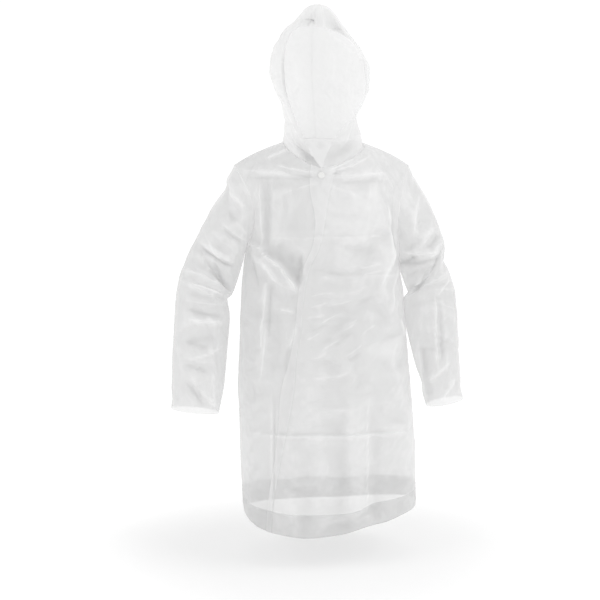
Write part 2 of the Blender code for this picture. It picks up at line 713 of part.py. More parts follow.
def neck_edge(front, back, side):
    """The neckline's points on one side, from the snap round to the nape, as its panels have them."""
    on_front = front.points[-1, 1 : NECK_COLUMNS_FRONT + 2]
    middle = back.points.shape[1] // 2
    on_back = back.points[-1, middle : middle + NECK_COLUMNS_BACK + 1]
    if side < 0:
        on_back = back.points[-1, middle - NECK_COLUMNS_BACK : middle + 1][::-1]
    return np.concatenate([on_front[:-1], on_back[::-1]])


def share_normals(pieces):
    """Gives points that several pieces share one normal, so that their walls meet without crossing.

    Two pieces in an inward corner, as under the arm, keep their own: there the walls part inwards.
    """
    places = np.concatenate([piece.points.reshape(-1, 3) for piece in pieces])
    normals = np.concatenate([piece.normals.reshape(-1, 3) for piece in pieces])
    inwards = np.concatenate([piece.from_edges().reshape(-1, 3) for piece in pieces])
    meetings = {}
    for number, key in enumerate(map(tuple, np.round(places / SAME_PLACE).astype(int).tolist())):
        meetings.setdefault(key, []).append(number)
    shared = normals.copy()
    for members in meetings.values():
        for one in members:
            friends = [
                other
                for other in members
                if inwards[one] @ normals[other] + inwards[other] @ normals[one] < OPEN_CORNER
            ]
            shared[one] = unit(normals[friends].sum(axis=0))
    start = 0
    for piece in pieces:
        size = piece.points.shape[0] * piece.points.shape[1]
        piece.normals = shared[start : start + size].reshape(piece.points.shape)
        start += size


# ---------------------------------------------------------------- snap


CAP_PROFILE = (
    (0.0, SNAP_HEIGHT),
    (SNAP_RADIUS * 0.45, SNAP_HEIGHT * 0.97),
    (SNAP_RADIUS * 0.75, SNAP_HEIGHT * 0.86),
    (SNAP_RADIUS * 0.93, SNAP_HEIGHT * 0.66),
    (SNAP_RADIUS, SNAP_HEIGHT * 0.45),
    (SNAP_RADIUS, 0.0),
    (0.0, 0.0),
)
SOCKET_PROFILE = (
    (0.0, SOCKET_HEIGHT),
    (SOCKET_RADIUS, SOCKET_HEIGHT),
    (SOCKET_RADIUS, SOCKET_HEIGHT * 0.35),
    (SOCKET_RADIUS * 0.82, 0.0),
    (0.0, 0.0),
)


def turned(name, profile, collection, material):
    """A turned piece about its own Z axis; the profile's points run from the top of the axis down."""
    mesh = bpy.data.meshes.new(name)
    edges = [(number, number + 1) for number in range(len(profile) - 1)]
    mesh.from_pydata([(radius, 0.0, height) for radius, height in profile], edges, [])
    mesh.materials.append(material)
    piece = bpy.data.objects.new(name, mesh)
    collection.objects.link(piece)
    screw = piece.modifiers.new("turn", "SCREW")
    screw.steps = SNAP_STEPS
    screw.render_steps = SNAP_STEPS
    screw.use_merge_vertices = True
    screw.merge_threshold = SAME_PLACE
    screw.use_smooth_shade = True
    return piece


def lay_on(piece, place, outward):
    """Puts a turned piece with its base at a place and its axis along `outward`."""
    piece.location = Vector(place)
    piece.rotation_mode = "QUATERNION"
    piece.rotation_quaternion = Vector(outward).to_track_quat("Z", "Y")


def nearest(piece, x, z):
    """Row and column of the point of a piece that is closest to X, Z on the front."""
    away = np.hypot(piece.points[..., 0] - x, piece.points[..., 2] - z)
    return np.unravel_index(np.argmin(away), away.shape)


def build_snap(upper, collection, material):
    """The snap's two halves, clamped outside the upper front and inside the under front."""
    x, z = SNAP_PLACE
    outward = upper.normals[nearest(upper, x, z)]
    spot = body_base(across_at(x, rise_at(z), -1), rise_at(z), -1)
    lift = fold_height(spot[0], spot[2], FRONT_FOLDS)
    cap = turned("snap_cap", CAP_PROFILE, collection, material)
    lay_on(cap, spot + outward * (lift + SNAP_CLEAR), outward)
    socket = turned("snap_socket", SOCKET_PROFILE, collection, material)
    lay_on(socket, spot + outward * (lift - SOCKET_DEPTH), outward)


def rise_at(height):
    """The rise at which the front's middle has a height above the underarm."""
    samples = np.linspace(1.0, 2.0, SAMPLES)
    heights = body_base(np.zeros_like(samples), samples, -1)[..., 2]
    return float(np.interp(height, heights, samples))


# ---------------------------------------------------------------- scene


def film_material(name, colour, roughness):
    """A plain plastic material."""
    material = bpy.data.materials.new(name)
    material.use_nodes = True
    shader = material.node_tree.nodes["Principled BSDF"]
    shader.inputs["Base Color"].default_value = colour
    shader.inputs["Roughness"].default_value = roughness
    shader.inputs["Metallic"].default_value = 0.0
    return material


def main():
    """Clears the scene and builds the coat."""
    for old in list(bpy.data.objects):
        bpy.data.objects.remove(old, do_unlink=True)
    collection = bpy.data.collections.new("rain_poncho")
    bpy.context.scene.collection.children.link(collection)

    under = front_piece(-1)
    upper = front_piece(1)
    back = back_piece()
    under.points = lapped(under.points, under.normals)
    under.refresh()
    sleeves = [sleeve_piece(side) for side in (-1, 1)]
    hoods = [
        hood_piece(-1, neck_edge(under, back, -1)),
        hood_piece(1, neck_edge(upper, back, 1)),
    ]
    pieces = [under, upper, back, *sleeves, *hoods]
    share_normals(pieces)
    for piece in pieces:
        piece.build(collection, film_material(piece.name + "_film", FILM_COLOUR, 0.25))
    build_snap(upper, collection, film_material("snap_plastic", SNAP_COLOUR, 0.35))


main()
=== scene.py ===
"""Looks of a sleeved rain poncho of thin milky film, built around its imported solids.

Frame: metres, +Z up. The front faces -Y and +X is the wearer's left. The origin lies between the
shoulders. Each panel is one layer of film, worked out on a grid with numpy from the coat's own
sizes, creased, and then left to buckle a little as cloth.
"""

import logging
import math
from dataclasses import dataclass, field
from enum import Enum
from typing import NamedTuple

import bpy
import numpy as np
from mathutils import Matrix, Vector


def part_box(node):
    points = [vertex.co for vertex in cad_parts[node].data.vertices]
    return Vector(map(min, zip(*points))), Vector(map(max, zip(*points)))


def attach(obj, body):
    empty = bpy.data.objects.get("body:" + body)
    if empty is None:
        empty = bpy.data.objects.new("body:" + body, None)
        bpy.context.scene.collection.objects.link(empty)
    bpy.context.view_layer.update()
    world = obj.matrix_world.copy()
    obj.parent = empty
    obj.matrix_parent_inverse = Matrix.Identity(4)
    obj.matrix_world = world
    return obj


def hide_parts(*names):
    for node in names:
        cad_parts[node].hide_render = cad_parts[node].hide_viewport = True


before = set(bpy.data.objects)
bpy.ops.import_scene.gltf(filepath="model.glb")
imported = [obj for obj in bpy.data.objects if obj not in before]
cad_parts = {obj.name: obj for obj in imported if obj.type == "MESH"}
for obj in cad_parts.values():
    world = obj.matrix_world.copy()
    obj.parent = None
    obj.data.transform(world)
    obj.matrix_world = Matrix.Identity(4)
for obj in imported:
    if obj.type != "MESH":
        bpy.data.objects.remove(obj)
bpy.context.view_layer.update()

LOG = logging.getLogger("rain_poncho")
Array = np.ndarray
BODY = "root"
BODY_NODES = ("front_right", "front_left", "back")


# ---------------------------------------------------------------- named options


class Side(Enum):
    """The wearer's side a piece belongs to, as the sign of its X."""

    RIGHT = -1
    LEFT = 1


class Face(Enum):
    """Front or back of the body, as the sign of its Y."""

    FRONT = -1
    BACK = 1


class Bend(Enum):
    """Cross section of a crease."""

    SOFT = "a round bell"
    SHARP = "a ridge with straight flanks"
    STEP = "one side stands above the other"


# ---------------------------------------------------------------- curves


def cubic(part: Array | float, start: Array, leaving: Array, end: Array, arriving: Array) -> Array:
    """A cubic between two points: start r^2 (1 + 2p) + leaving r^2 p + end p^2 (1 + 2r) - arriving p^2 r.

    Args:
        part: p, the share of the way from the start to the end; r is the rest of it.
        start: the first point.
        leaving: the slope there, over the whole way.
        end: the last point.
        arriving: the slope there.

    Returns:
        The point at that share.
    """
    rest = 1 - part
    near = start * rest**2 * (1 + 2 * part) + leaving * rest**2 * part
    return near + (end * part**2 * (1 + 2 * rest) - arriving * part**2 * rest)


def through_rows(rows: tuple, at: Array) -> Array:
    """Smooth columns of a table: cubics between its rows, with each row's slope shared.

    Args:
        rows: the table; its first column says where each row lies.
        at: places along that first column.

    Returns:
        The interpolated rows, with the columns along the last axis.
    """
    table = np.array(rows, dtype=float)
    knots = table[:, 0]
    slopes = np.gradient(table, knots, axis=0)
    at = np.clip(at, knots[0], knots[-1])
    low = np.clip(np.searchsorted(knots, at, side="right") - 1, 0, len(knots) - 2)
    step = (knots[low + 1] - knots[low])[..., None]
    part = (at - knots[low])[..., None] / step
    return cubic(part, table[low], slopes[low] * step, table[low + 1], slopes[low + 1] * step)


def numbered(rows: tuple) -> list:
    """The same table with the row's number put in front of each row."""
    return [(number, *row) for number, row in enumerate(rows)]


def ease(value: Array) -> Array:
    """0 below 0, 1 above 1 and a smooth step between."""
    value = np.clip(value, 0.0, 1.0)
    return value * value * (3 - 2 * value)


def stack(x: Array, y: Array, z: Array) -> Array:
    """Points from three arrays of one shape."""
    return np.stack(np.broadcast_arrays(x, y, z), axis=-1)


def unit(vectors: Array) -> Array:
    """The vectors at length one."""
    return vectors / np.maximum(np.linalg.norm(vectors, axis=-1, keepdims=True), 1e-12)


def grid_normals(points: Array, wrap: bool) -> Array:
    """Unit normals of a grid: the cross product of its column step and its row step.

    Args:
        points: rows x columns x 3.
        wrap: whether the last column joins the first one.

    Returns:
        Normals of the same shape.
    """
    rows = np.gradient(points, axis=0)
    if wrap:
        columns = np.roll(points, -1, axis=1) - np.roll(points, 1, axis=1)
    else:
        columns = np.gradient(points, axis=1)
    return unit(np.cross(columns, rows))


def grid_faces(rows: int, columns: int, wrap: bool) -> Array:
    """Corner numbers of the quads of a grid.

    Args:
        rows: number of rows of points.
        columns: number of points in each row.
        wrap: whether the last column joins the first one.

    Returns:
        One line of four numbers for each quad, turning from the column step to the row step.
    """
    number = np.arange(rows * columns).reshape(rows, columns)
    if wrap:
        number = np.concatenate([number, number[:, :1]], axis=1)
    quads = [number[:-1, :-1], number[:-1, 1:], number[1:, 1:], number[1:, :-1]]
    return np.stack(quads, axis=-1).reshape(-1, 4)


def run_lengths(points: Array, axis: int) -> Array:
    """Distance along each line of a grid, measured from its start along one axis."""
    steps = np.linalg.norm(np.diff(points, axis=axis), axis=-1)
    start = np.zeros_like(np.take(steps, [0], axis=axis))
    return np.concatenate([start, np.cumsum(steps, axis=axis)], axis=axis)


def edge_fade(points: Array, first: float, last: float, low: float, high: float) -> Array:
    """A factor that is 0 on a grid's edges and 1 inside: smooth steps of the distances to them.

    Args:
        points: the grid's points.
        first: how far the step reaches from the first column; 0 leaves that edge out, also below.
        last: the same from the last column.
        low: the same from the first row.
        high: the same from the last row.

    Returns:
        The product of the steps at each point.
    """
    across, up = run_lengths(points, 1), run_lengths(points, 0)
    fade = np.ones(points.shape[:2])
    edges = ((first, across), (last, across[:, -1:] - across), (low, up), (high, up[-1:] - up))
    for reach, away in edges:
        if reach:
            fade = fade * ease(away / reach)
    return fade


def evened(values: Array, wrap: bool, step: int, times: int) -> Array:
    """Averages a grid with its neighbours: (before + 2 x itself + after) / 4, along both axes.

    Args:
        values: rows x columns, or rows x columns x 3.
        wrap: whether the last column joins the first one.
        step: how many lines away the neighbours are.
        times: how often this is done.

    Returns:
        The averaged grid.
    """
    for _ in range(times):
        for axis in (0, 1):
            lines = np.moveaxis(values, axis, 0)
            margins = [(step, step)] + [(0, 0)] * (lines.ndim - 1)
            padded = np.pad(lines, margins, mode="wrap" if wrap and axis == 1 else "edge")
            lines = (padded[: -2 * step] + 2 * lines + padded[2 * step :]) / 4
            values = np.moveaxis(lines, 0, axis)
    return values


# ---------------------------------------------------------------- body


class HemPoint(NamedTuple):
    """Height of the hem at one place across, in metres."""

    across: float
    front: float
    back: float


class BodyRing(NamedTuple):
    """Half sizes of the body at one height, in metres, and the power of its outline."""

    height: float
    right: float
    left: float
    front: float
    back: float
    square: float


class FreeEdge(NamedTuple):
    """X of the upper front's free edge and of the under front's, at one height."""

    height: float
    upper: float
    under: float


@dataclass(frozen=True)
class BodyShape:
    """The coat's body before its folds.

    A point is named by `across`, from -1 at the wearer's right side to 1 at the left one, and by
    `rise`: 0 at the hem, 1 at the underarm and 2 at the shoulder seam and neckline.
    """

    hem_points: tuple = (
        HemPoint(-1.00, -0.938, -0.938),
        HemPoint(-0.80, -0.955, -0.952),
        HemPoint(-0.60, -0.970, -0.960),
        HemPoint(-0.40, -0.977, -0.965),
        HemPoint(-0.08, -0.982, -0.969),
        HemPoint(0.05, -0.975, -0.970),
        HemPoint(0.16, -0.963, -0.969),
        HemPoint(0.34, -0.955, -0.965),
        HemPoint(0.55, -0.940, -0.957),
        HemPoint(0.80, -0.936, -0.944),
        HemPoint(1.00, -0.934, -0.934),
    )
    rings: tuple = (
        BodyRing(-1.000, 0.206, 0.248, 0.166, 0.168, 2.4),
        BodyRing(-0.910, 0.212, 0.246, 0.165, 0.166, 2.4),
        BodyRing(-0.810, 0.217, 0.244, 0.164, 0.163, 2.4),
        BodyRing(-0.710, 0.219, 0.239, 0.162, 0.160, 2.4),
        BodyRing(-0.600, 0.222, 0.229, 0.159, 0.156, 2.4),
        BodyRing(-0.500, 0.217, 0.221, 0.156, 0.152, 2.3),
        BodyRing(-0.390, 0.213, 0.212, 0.153, 0.149, 2.3),
        BodyRing(-0.320, 0.207, 0.203, 0.151, 0.147, 2.2),
        BodyRing(-0.240, 0.196, 0.190, 0.149, 0.146, 2.2),
    )
    free_edges: tuple = (
        FreeEdge(-1.000, -0.165, -0.153),
        FreeEdge(-0.900, -0.158, -0.146),
        FreeEdge(-0.800, -0.145, -0.130),
        FreeEdge(-0.700, -0.134, -0.111),
        FreeEdge(-0.610, -0.127, -0.095),
        FreeEdge(-0.520, -0.104, -0.088),
        FreeEdge(-0.460, -0.093, -0.077),
        FreeEdge(-0.380, -0.085, -0.070),
        FreeEdge(-0.300, -0.071, -0.054),
        FreeEdge(-0.244, -0.049, -0.030),
        FreeEdge(-0.178, -0.041, -0.016),
        FreeEdge(-0.100, -0.053, -0.002),
        FreeEdge(-0.060, -0.053, 0.010),
    )
    shoulder_tip: tuple = (0.228, 0.004, -0.045)
    neck_side: tuple = (0.103, 0.000, 0.014)
    neck_front: tuple = (-0.021, -0.126, -0.052)
    neck_back: tuple = (-0.006, 0.085, 0.026)
    neck_share: float = 0.45
    neck_curve: float = 1.25
    shoulder_droop: float = 0.25
    chest_depth: float = 0.85
    chest_rise: float = 0.90
    underarm_right: float = -0.262
    underarm_left: float = -0.308
    armhole_front: float = 0.068
    armhole_back: float = 0.072
    armhole_cut: float = 0.028
    armhole_pull: float = 2.2
    hem_depth: float = 0.055
    lap_top: float = 0.10
    lap_across: float = -0.20
    lap_blend_from: float = 1.6
    corner_spread: float = 0.16
    sampled_width: float = 0.9
    samples: int = 181

    @property
    def hem_rise(self) -> float:
        """Rise of the hem's weld line."""
        return self.hem_depth / (self.underarm_right - self.hem_points[0].front)

    def underarm(self, across: Array) -> Array:
        """Height of the line that joins the underarms."""
        return self.underarm_right + (self.underarm_left - self.underarm_right) * (across + 1) / 2

    def hem(self, across: Array, face: Face) -> Array:
        """Height of the hem's edge."""
        return through_rows(self.hem_points, across)[..., 1 if face is Face.FRONT else 2]

    def ring(self, across: Array, height: Array, face: Face) -> Array:
        """Point of the body's outline at a height: a quarter of a superellipse on each side."""
        sizes = through_rows(self.rings, height)
        side = np.where(across < 0, sizes[..., 1], sizes[..., 2])
        depth = sizes[..., 3] if face is Face.FRONT else sizes[..., 4]
        power = 2 / sizes[..., 5]
        angle = np.abs(across) * math.pi / 2
        x = np.sign(across) * side * np.sin(angle) ** power
        y = face.value * depth * np.abs(np.cos(angle)) ** power
        return stack(x, y, height)

    def top_line(self, across: Array, face: Face) -> Array:
        """The upper edge of a panel: an elliptic neckline in its middle, the shoulder seam outside."""
        middle = self.neck_front if face is Face.FRONT else self.neck_back
        neck, tip = self.neck_side, self.shoulder_tip
        way = np.sign(across)
        share = np.clip(np.abs(across) / self.neck_share, 0, 1)
        angle = share * math.pi / 2
        neck_x = middle[0] + (way * neck[0] - middle[0]) * np.sin(angle)
        neck_y = neck[1] + (middle[1] - neck[1]) * np.cos(angle)
        neck_z = middle[2] + (neck[2] - middle[2]) * share**self.neck_curve
        out = np.clip((np.abs(across) - self.neck_share) / (1 - self.neck_share), 0, 1)
        drop = (1 - self.shoulder_droop) * out + self.shoulder_droop * out**3
        seam_x = way * (neck[0] + (tip[0] - neck[0]) * out)
        seam_y = neck[1] + (tip[1] - neck[1]) * out
        seam_z = neck[2] + (tip[2] - neck[2]) * drop
        on_neck = np.abs(across) < self.neck_share
        return stack(
            np.where(on_neck, neck_x, seam_x),
            np.where(on_neck, neck_y, seam_y),
            np.where(on_neck, neck_z, seam_z),
        )

    def armhole(self, way: int, climb: Array, face: Face) -> Array:
        """The armhole's edge: a line from the underarm to the shoulder tip, bowed by half a sine."""
        low = self.ring(np.asarray(float(way)), self.underarm(way), face)
        high = np.array(self.shoulder_tip) * (way, 1, 1)
        climb = np.asarray(climb)[..., None]
        reach = self.armhole_front if face is Face.FRONT else self.armhole_back
        bulge = np.array((-way * self.armhole_cut, face.value * reach, 0.0))
        return low + (high - low) * climb + bulge * np.sin(climb * math.pi)

    def leaned(self, low: Array, top: Array, climb: Array) -> Array:
        """Points between two lines along a quarter of a rounded arch, upright at its foot."""
        turn = climb * math.pi / 2
        x = low[..., 0] + (top[..., 0] - low[..., 0]) * climb
        y = top[..., 1] + (low[..., 1] - top[..., 1]) * np.cos(turn) ** self.chest_depth
        z = low[..., 2] + (top[..., 2] - low[..., 2]) * np.sin(turn) ** self.chest_rise
        return stack(x, y, z)

    def surface(self, across: Array, rise: Array, face: Face) -> Array:
        """The panel's surface: a ring below the underarm, an arch above it, pulled to the armholes.

        Args:
            across: places across, from -1 to 1.
            rise: places upwards, from 0 to 2.
            face: the front or the back.

        Returns:
            Points in metres, in the shape of both inputs broadcast together.
        """
        across, rise = np.broadcast_arrays(across, rise)
        hem = self.hem(across, face)
        height = hem + (self.underarm(across) - hem) * np.clip(rise, 0, 1)
        climb = np.clip(rise - 1, 0, 1)
        inside = np.clip((1 - np.abs(across)) / self.corner_spread / 2, 0, 1)
        spread = self.corner_spread * inside * (1 - climb)
        shifts = (-1.0, -0.5, 0.0, 0.5, 1.0)
        top = sum(self.top_line(across + shift * spread, face) for shift in shifts) / len(shifts)
        points = self.leaned(self.ring(across, height, face), top, climb)
        for way in (-1, 1):
            end = np.asarray(float(way))
            foot = self.ring(end, self.underarm(way), face)
            side = self.leaned(foot, self.top_line(end, face), climb)
            pull = np.where(across * way > 0, np.abs(across) ** self.armhole_pull, 0.0)
            points = points + (self.armhole(way, climb, face) - side) * (pull * (climb > 0))[..., None]
        return points

    def lap_edges(self, rises: Array) -> Array:
        """Places across of the upper and the under front's free edges, one row for each rise."""
        samples = np.linspace(-self.sampled_width, self.sampled_width, self.samples)
        height = self.surface(np.asarray(self.lap_across), rises, Face.FRONT)[:, 2]
        edges = through_rows(self.free_edges, height)[:, 1:]
        sampled = self.surface(samples[None], rises[:, None], Face.FRONT)[..., 0]
        hanging = np.array([np.interp(x, row, samples) for x, row in zip(edges, sampled)])
        at_top = ease((rises - self.lap_blend_from) / (2 - self.lap_blend_from))[:, None]
        return hanging * (1 - at_top) + np.array([[-self.lap_top, self.lap_top]]) * at_top


# ---------------------------------------------------------------- creases

FOLD_REACH = 0.10  # share of its length by which a fold runs past both ends
FOLD_TAPER = 0.35  # share of its length over which it rises and dies out
SHARP_FALL = 1.4  # how fast the flanks of a sharp crease fall
SHARP_TIP = 0.02  # how round its tip is
STEP_RISE = 2.5  # how steep a step is
STEP_WIDTH = 2.2  # half widths over which it dies out


class Fold(NamedTuple):
    """A crease in a panel between two points (X, Z): half width, height outwards, bow and section."""

    from_x: float
    from_z: float
    to_x: float
    to_z: float
    width: float
    height: float
    bow: float = 0.0
    bend: Bend = Bend.SOFT


class Crease(NamedTuple):
    """A narrow fold, told in the same way; most of them are sharp."""

    from_x: float
    from_z: float
    to_x: float
    to_z: float
    width: float
    height: float
    bow: float = 0.0
    bend: Bend = Bend.SHARP


class RoundFold(NamedTuple):
    """A crease across a sleeve or half a hood, in shares of its length and of its round."""

    along: float
    slope: float
    middle: float
    spread: float
    width: float
    height: float
    bend: Bend = Bend.SOFT


def section(aside: Array, bend: Bend) -> Array:
    """Height across a crease for a distance aside in half widths.

    SOFT is a Gaussian bell, SHARP falls off as an exponential on both sides, and STEP is a smooth
    step that dies out again within three half widths.
    """
    if bend is Bend.SOFT:
        return np.exp(-(aside**2))
    if bend is Bend.SHARP:
        return np.exp(-SHARP_FALL * np.sqrt(aside**2 + SHARP_TIP))
    return np.tanh(STEP_RISE * aside) * np.exp(-((aside / STEP_WIDTH) ** 2))


def relief(x: Array, z: Array, folds: tuple) -> Array:
    """Height outwards of all folds of a panel: each a section across its line, tapered at its ends.

    Args:
        x: X of the panel's points.
        z: Z of the panel's points.
        folds: the Fold or Crease rows.

    Returns:
        The summed height at each point, in metres.
    """
    lift = np.zeros_like(x)
    for fold in folds:
        run_x, run_z = fold.to_x - fold.from_x, fold.to_z - fold.from_z
        length = math.hypot(run_x, run_z)
        along = ((x - fold.from_x) * run_x + (z - fold.from_z) * run_z) / length**2
        aside = ((x - fold.from_x) * run_z - (z - fold.from_z) * run_x) / length
        aside = aside - fold.bow * 4 * along * (1 - along)
        taper = ease((along + FOLD_REACH) / FOLD_TAPER) * ease((1 + FOLD_REACH - along) / FOLD_TAPER)
        lift += fold.height * taper * section(aside / fold.width, fold.bend)
    return lift


def round_relief(along: Array, around: Array, folds: tuple, wrap: bool) -> Array:
    """Height outwards of all folds of a sleeve or a hood: a section along it, and a bell round it.

    Args:
        along: places along the sleeve from the armhole to the cuff, or up the hood, from 0 to 1.
        around: places round the sleeve from the underarm by way of the front, or across the half.
        folds: the RoundFold rows.
        wrap: whether the places round it close up.

    Returns:
        The summed height at each point, in metres.
    """
    lift = np.zeros(np.broadcast_shapes(along.shape, around.shape))
    for fold in folds:
        off = around - fold.middle
        if wrap:
            off = (off + 0.5) % 1 - 0.5
        line = along - fold.along - fold.slope * off
        lift += fold.height * section(line / fold.width, fold.bend) * np.exp(-((off / fold.spread) ** 2))
    return lift


class Patch(NamedTuple):
    """A place of painted light (above 0, lighter) or painted shade (below 0, greyer) in a panel: its middle
    (X, Z), its half sizes and how much.
    """

    x: float
    z: float
    half_width: float
    half_height: float
    amount: float


def patch_light_and_shade(points: Array, patches: tuple) -> Array:
    """Painted light and shade that patches add to a panel's crease tone: the sum of amount *
    exp(-(dx/width)^2 - (dz/height)^2).

    Args:
        points: the panel's grid.
        patches: the Patch rows.

    Returns:
        The sum at each point.
    """
    marks = np.zeros(points.shape[:2])
    for patch in patches:
        aside = (points[..., 0] - patch.x) / patch.half_width
        above = (points[..., 2] - patch.z) / patch.half_height
        marks += patch.amount * np.exp(-(aside**2) - above**2)
    return marks


@dataclass(frozen=True)
class Crumple:
    """Fine folds such as film keeps from its packing: many straight creases, each in its own patch.

    Height is a sum of triangle waves in random directions. Each wave counts only in a patch, where
    a slow product of sines is high, and its height grows with its wavelength.
    """

    seed: int
    waves: int = 26
    shortest: float = 0.018
    longest: float = 0.110
    steepness: float = 0.009
    patch_from: float = 0.12
    patch_spread: float = 0.22
    waver: float = 0.25
    cover: float = 0.5
    contrast: float = 0.9

    def height(self, x: Array, y: Array) -> Array:
        """Height of the crumple over flat coordinates in metres."""
        random = np.random.default_rng(self.seed)
        total = np.zeros_like(x)
        for _ in range(self.waves):
            length = self.shortest * (self.longest / self.shortest) ** random.random()
            angle, phase = random.random(2) * 2 * math.pi
            patch = random.random(4) * 2 * math.pi
            pace = 2 * math.pi / (self.patch_from + self.patch_spread * random.random(2))
            run = (x * math.cos(angle) + y * math.sin(angle)) / length + phase
            run = run + self.waver * np.sin(x * pace[1] + patch[3])
            fold = np.abs(2 * (run % 1) - 1) - 0.5
            swell = np.sin(x * pace[0] + patch[0]) * np.sin(y * pace[1] + patch[1])
            here = ease(self.cover + self.contrast * swell)
            total += self.steepness * length * fold * here
        return total


# ---------------------------------------------------------------- panels


@dataclass
class Panel:
    """One cut piece of film: a grid of points with its outward sign and its flat coordinates."""

    name: str
    node: str
    points: Array
    outward: int
    wrap: bool = False
    # Crease tone before curvature: crease whitening with painted highlight on ridges, painted shade in
    # hollows, and the painted light and shade of patches and whole panels.
    marks: Array | float = 0.0
    full_mark: float = 0.0040
    full_bend: float = 0.0034
    most_creased: float = 1.6
    close_look: tuple = (1, 14)
    wide_look: tuple = (3, 10)
    piece: bpy.types.Object | None = None
    cut_size: tuple = ()

    @property
    def normals(self) -> Array:
        """Outward unit normals of the grid."""
        return self.outward * grid_normals(self.points, self.wrap)

    def lift(self, height: Array) -> None:
        """Moves the points outwards by a height at each one."""
        self.points = self.points + self.normals * height[..., None]

    def crease(self, height: Array) -> None:
        """Moves the points outwards and keeps the height for the crease tone: whiter ridges, partly painted
        highlight, and painted shade in hollows.
        """
        self.lift(height)
        self.marks = self.marks + height / self.full_mark

    def creased(self) -> Array:
        """The film's crease tone at each point, from its marks and its curvature: above 0 on a ridge,
        whiter, partly crease whitening and partly painted highlight; below 0 in a valley, greyer, as painted
        shade.
        """
        around = evened(self.points, self.wrap, *self.close_look)
        height = np.sum((self.points - around) * self.normals, axis=-1)
        height = height - evened(height, self.wrap, *self.wide_look)
        return self.most_creased * np.tanh((self.marks + height / self.full_bend) / self.most_creased)


@dataclass
class BodyPanels:
    """The two lapped fronts and the back, each on its own grid."""

    shape: BodyShape = field(default_factory=BodyShape)
    skirt_rows: int = 192
    yoke_rows: int = 78
    hem_rows: int = 18
    lap_columns: int = 12
    neck_columns_front: int = 36
    neck_columns_back: int = 39
    shoulder_columns: int = 66
    lap_gap: float = 0.0024
    lap_ramp: float = 0.022
    lap_painted_light: float = 0.7
    calm_width: float = 0.030
    fine_calm_width: float = 0.010

    @property
    def rises(self) -> Array:
        """Rows of the grids: the hem band, the skirt up to the underarm, and the part above."""
        weld = self.shape.hem_rise
        band = np.linspace(0.0, weld, self.hem_rows, endpoint=False)
        skirt = np.linspace(weld, 1.0, self.skirt_rows, endpoint=False)
        yoke = np.linspace(1.0, 2.0, self.yoke_rows + 1)
        return np.concatenate([band, skirt, yoke])

    def shares(self, start: float, neck_columns: int) -> Array:
        """Places from `start` on the neckline, past the neck's corner, to the side."""
        corner = self.shape.neck_share
        neck = np.linspace(start, corner, neck_columns, endpoint=False)
        return np.concatenate([neck, np.linspace(corner, 1.0, self.shoulder_columns + 1)])

    def front_points(self, side: Side) -> Array:
        """Points of one front: even columns in the lap, and from there to the side seam.

        Args:
            side: RIGHT is the under front, LEFT the upper one.

        Returns:
            The grid's points, its first column on the free edge.
        """
        lap_top = self.shape.lap_top
        onward = (self.shares(lap_top, self.neck_columns_front) - lap_top) / (1 - lap_top)
        edges = self.shape.lap_edges(self.rises)
        own, far = edges[:, [1, 0]].T if side is Side.RIGHT else edges.T
        in_lap = np.linspace(0, 1, self.lap_columns, endpoint=False)
        lap = own[:, None] + (far - own)[:, None] * in_lap
        beyond = far[:, None] + (side.value - far)[:, None] * onward
        across = np.concatenate([lap, beyond], axis=1)
        return self.shape.surface(across, self.rises[:, None], Face.FRONT)

    def back_points(self) -> Array:
        """Points of the back, from the wearer's right side seam to the left one."""
        half = self.shares(0.0, self.neck_columns_back)
        across = np.concatenate([-half[:0:-1], half])
        return self.shape.surface(across[None], self.rises[:, None], Face.BACK)

    def tucked(self, panel: Panel) -> None:
        """Steps the under front inwards below the upper one, by the gap between the two films."""
        edge = panel.points[:, self.lap_columns, 0]
        covered = ease((panel.points[..., 0] - edge[:, None] + self.lap_ramp) / self.lap_ramp)
        panel.points = panel.points - panel.normals * (covered * self.lap_gap)[..., None]

    def build(
        self, front_folds: tuple, back_folds: tuple, front_fine: tuple, back_fine: tuple
    ) -> list[Panel]:
        """Makes the three panels with their folds.

        Args:
            front_folds: the Fold rows of both fronts.
            back_folds: the Fold rows of the back.
            front_fine: the narrow creases of both fronts.
            back_fine: the narrow creases of the back.

        Returns:
            The under front, the upper front and the back.
        """
        fronts = []
        for side, name in ((Side.RIGHT, "front_right"), (Side.LEFT, "front_left")):
            panel = Panel(name + "_film", name, self.front_points(side), side.value)
            self.fold(panel, front_folds, front_fine, False)
            # The lap strip is painted lighter: painted light.
            panel.marks[:, : self.lap_columns] += self.lap_painted_light
            fronts.append(panel)
        self.tucked(fronts[0])
        back = Panel("back_film", "back", self.back_points(), -1)
        self.fold(back, back_folds, back_fine, True)
        return [*fronts, back]

    def fold(self, panel: Panel, folds: tuple, fine: tuple, both_sides: bool) -> None:
        """Lifts a panel by its folds, then its narrow creases; all die out towards its seams."""
        steps = ((folds, self.calm_width, panel.lift), (fine, self.fine_calm_width, panel.crease))
        for rows, reach, move in steps:
            first = reach if both_sides else 0.0
            height = relief(panel.points[..., 0], panel.points[..., 2], rows)
            move(height * edge_fade(panel.points, first, reach, 0.0, reach))


# ---------------------------------------------------------------- sleeves


class SleeveSection(NamedTuple):
    """One section across a sleeve: its outer and inner points, its half depth and its middle's Y."""

    outer_x: float
    outer_z: float
    inner_x: float
    inner_z: float
    depth: float
    forward: float


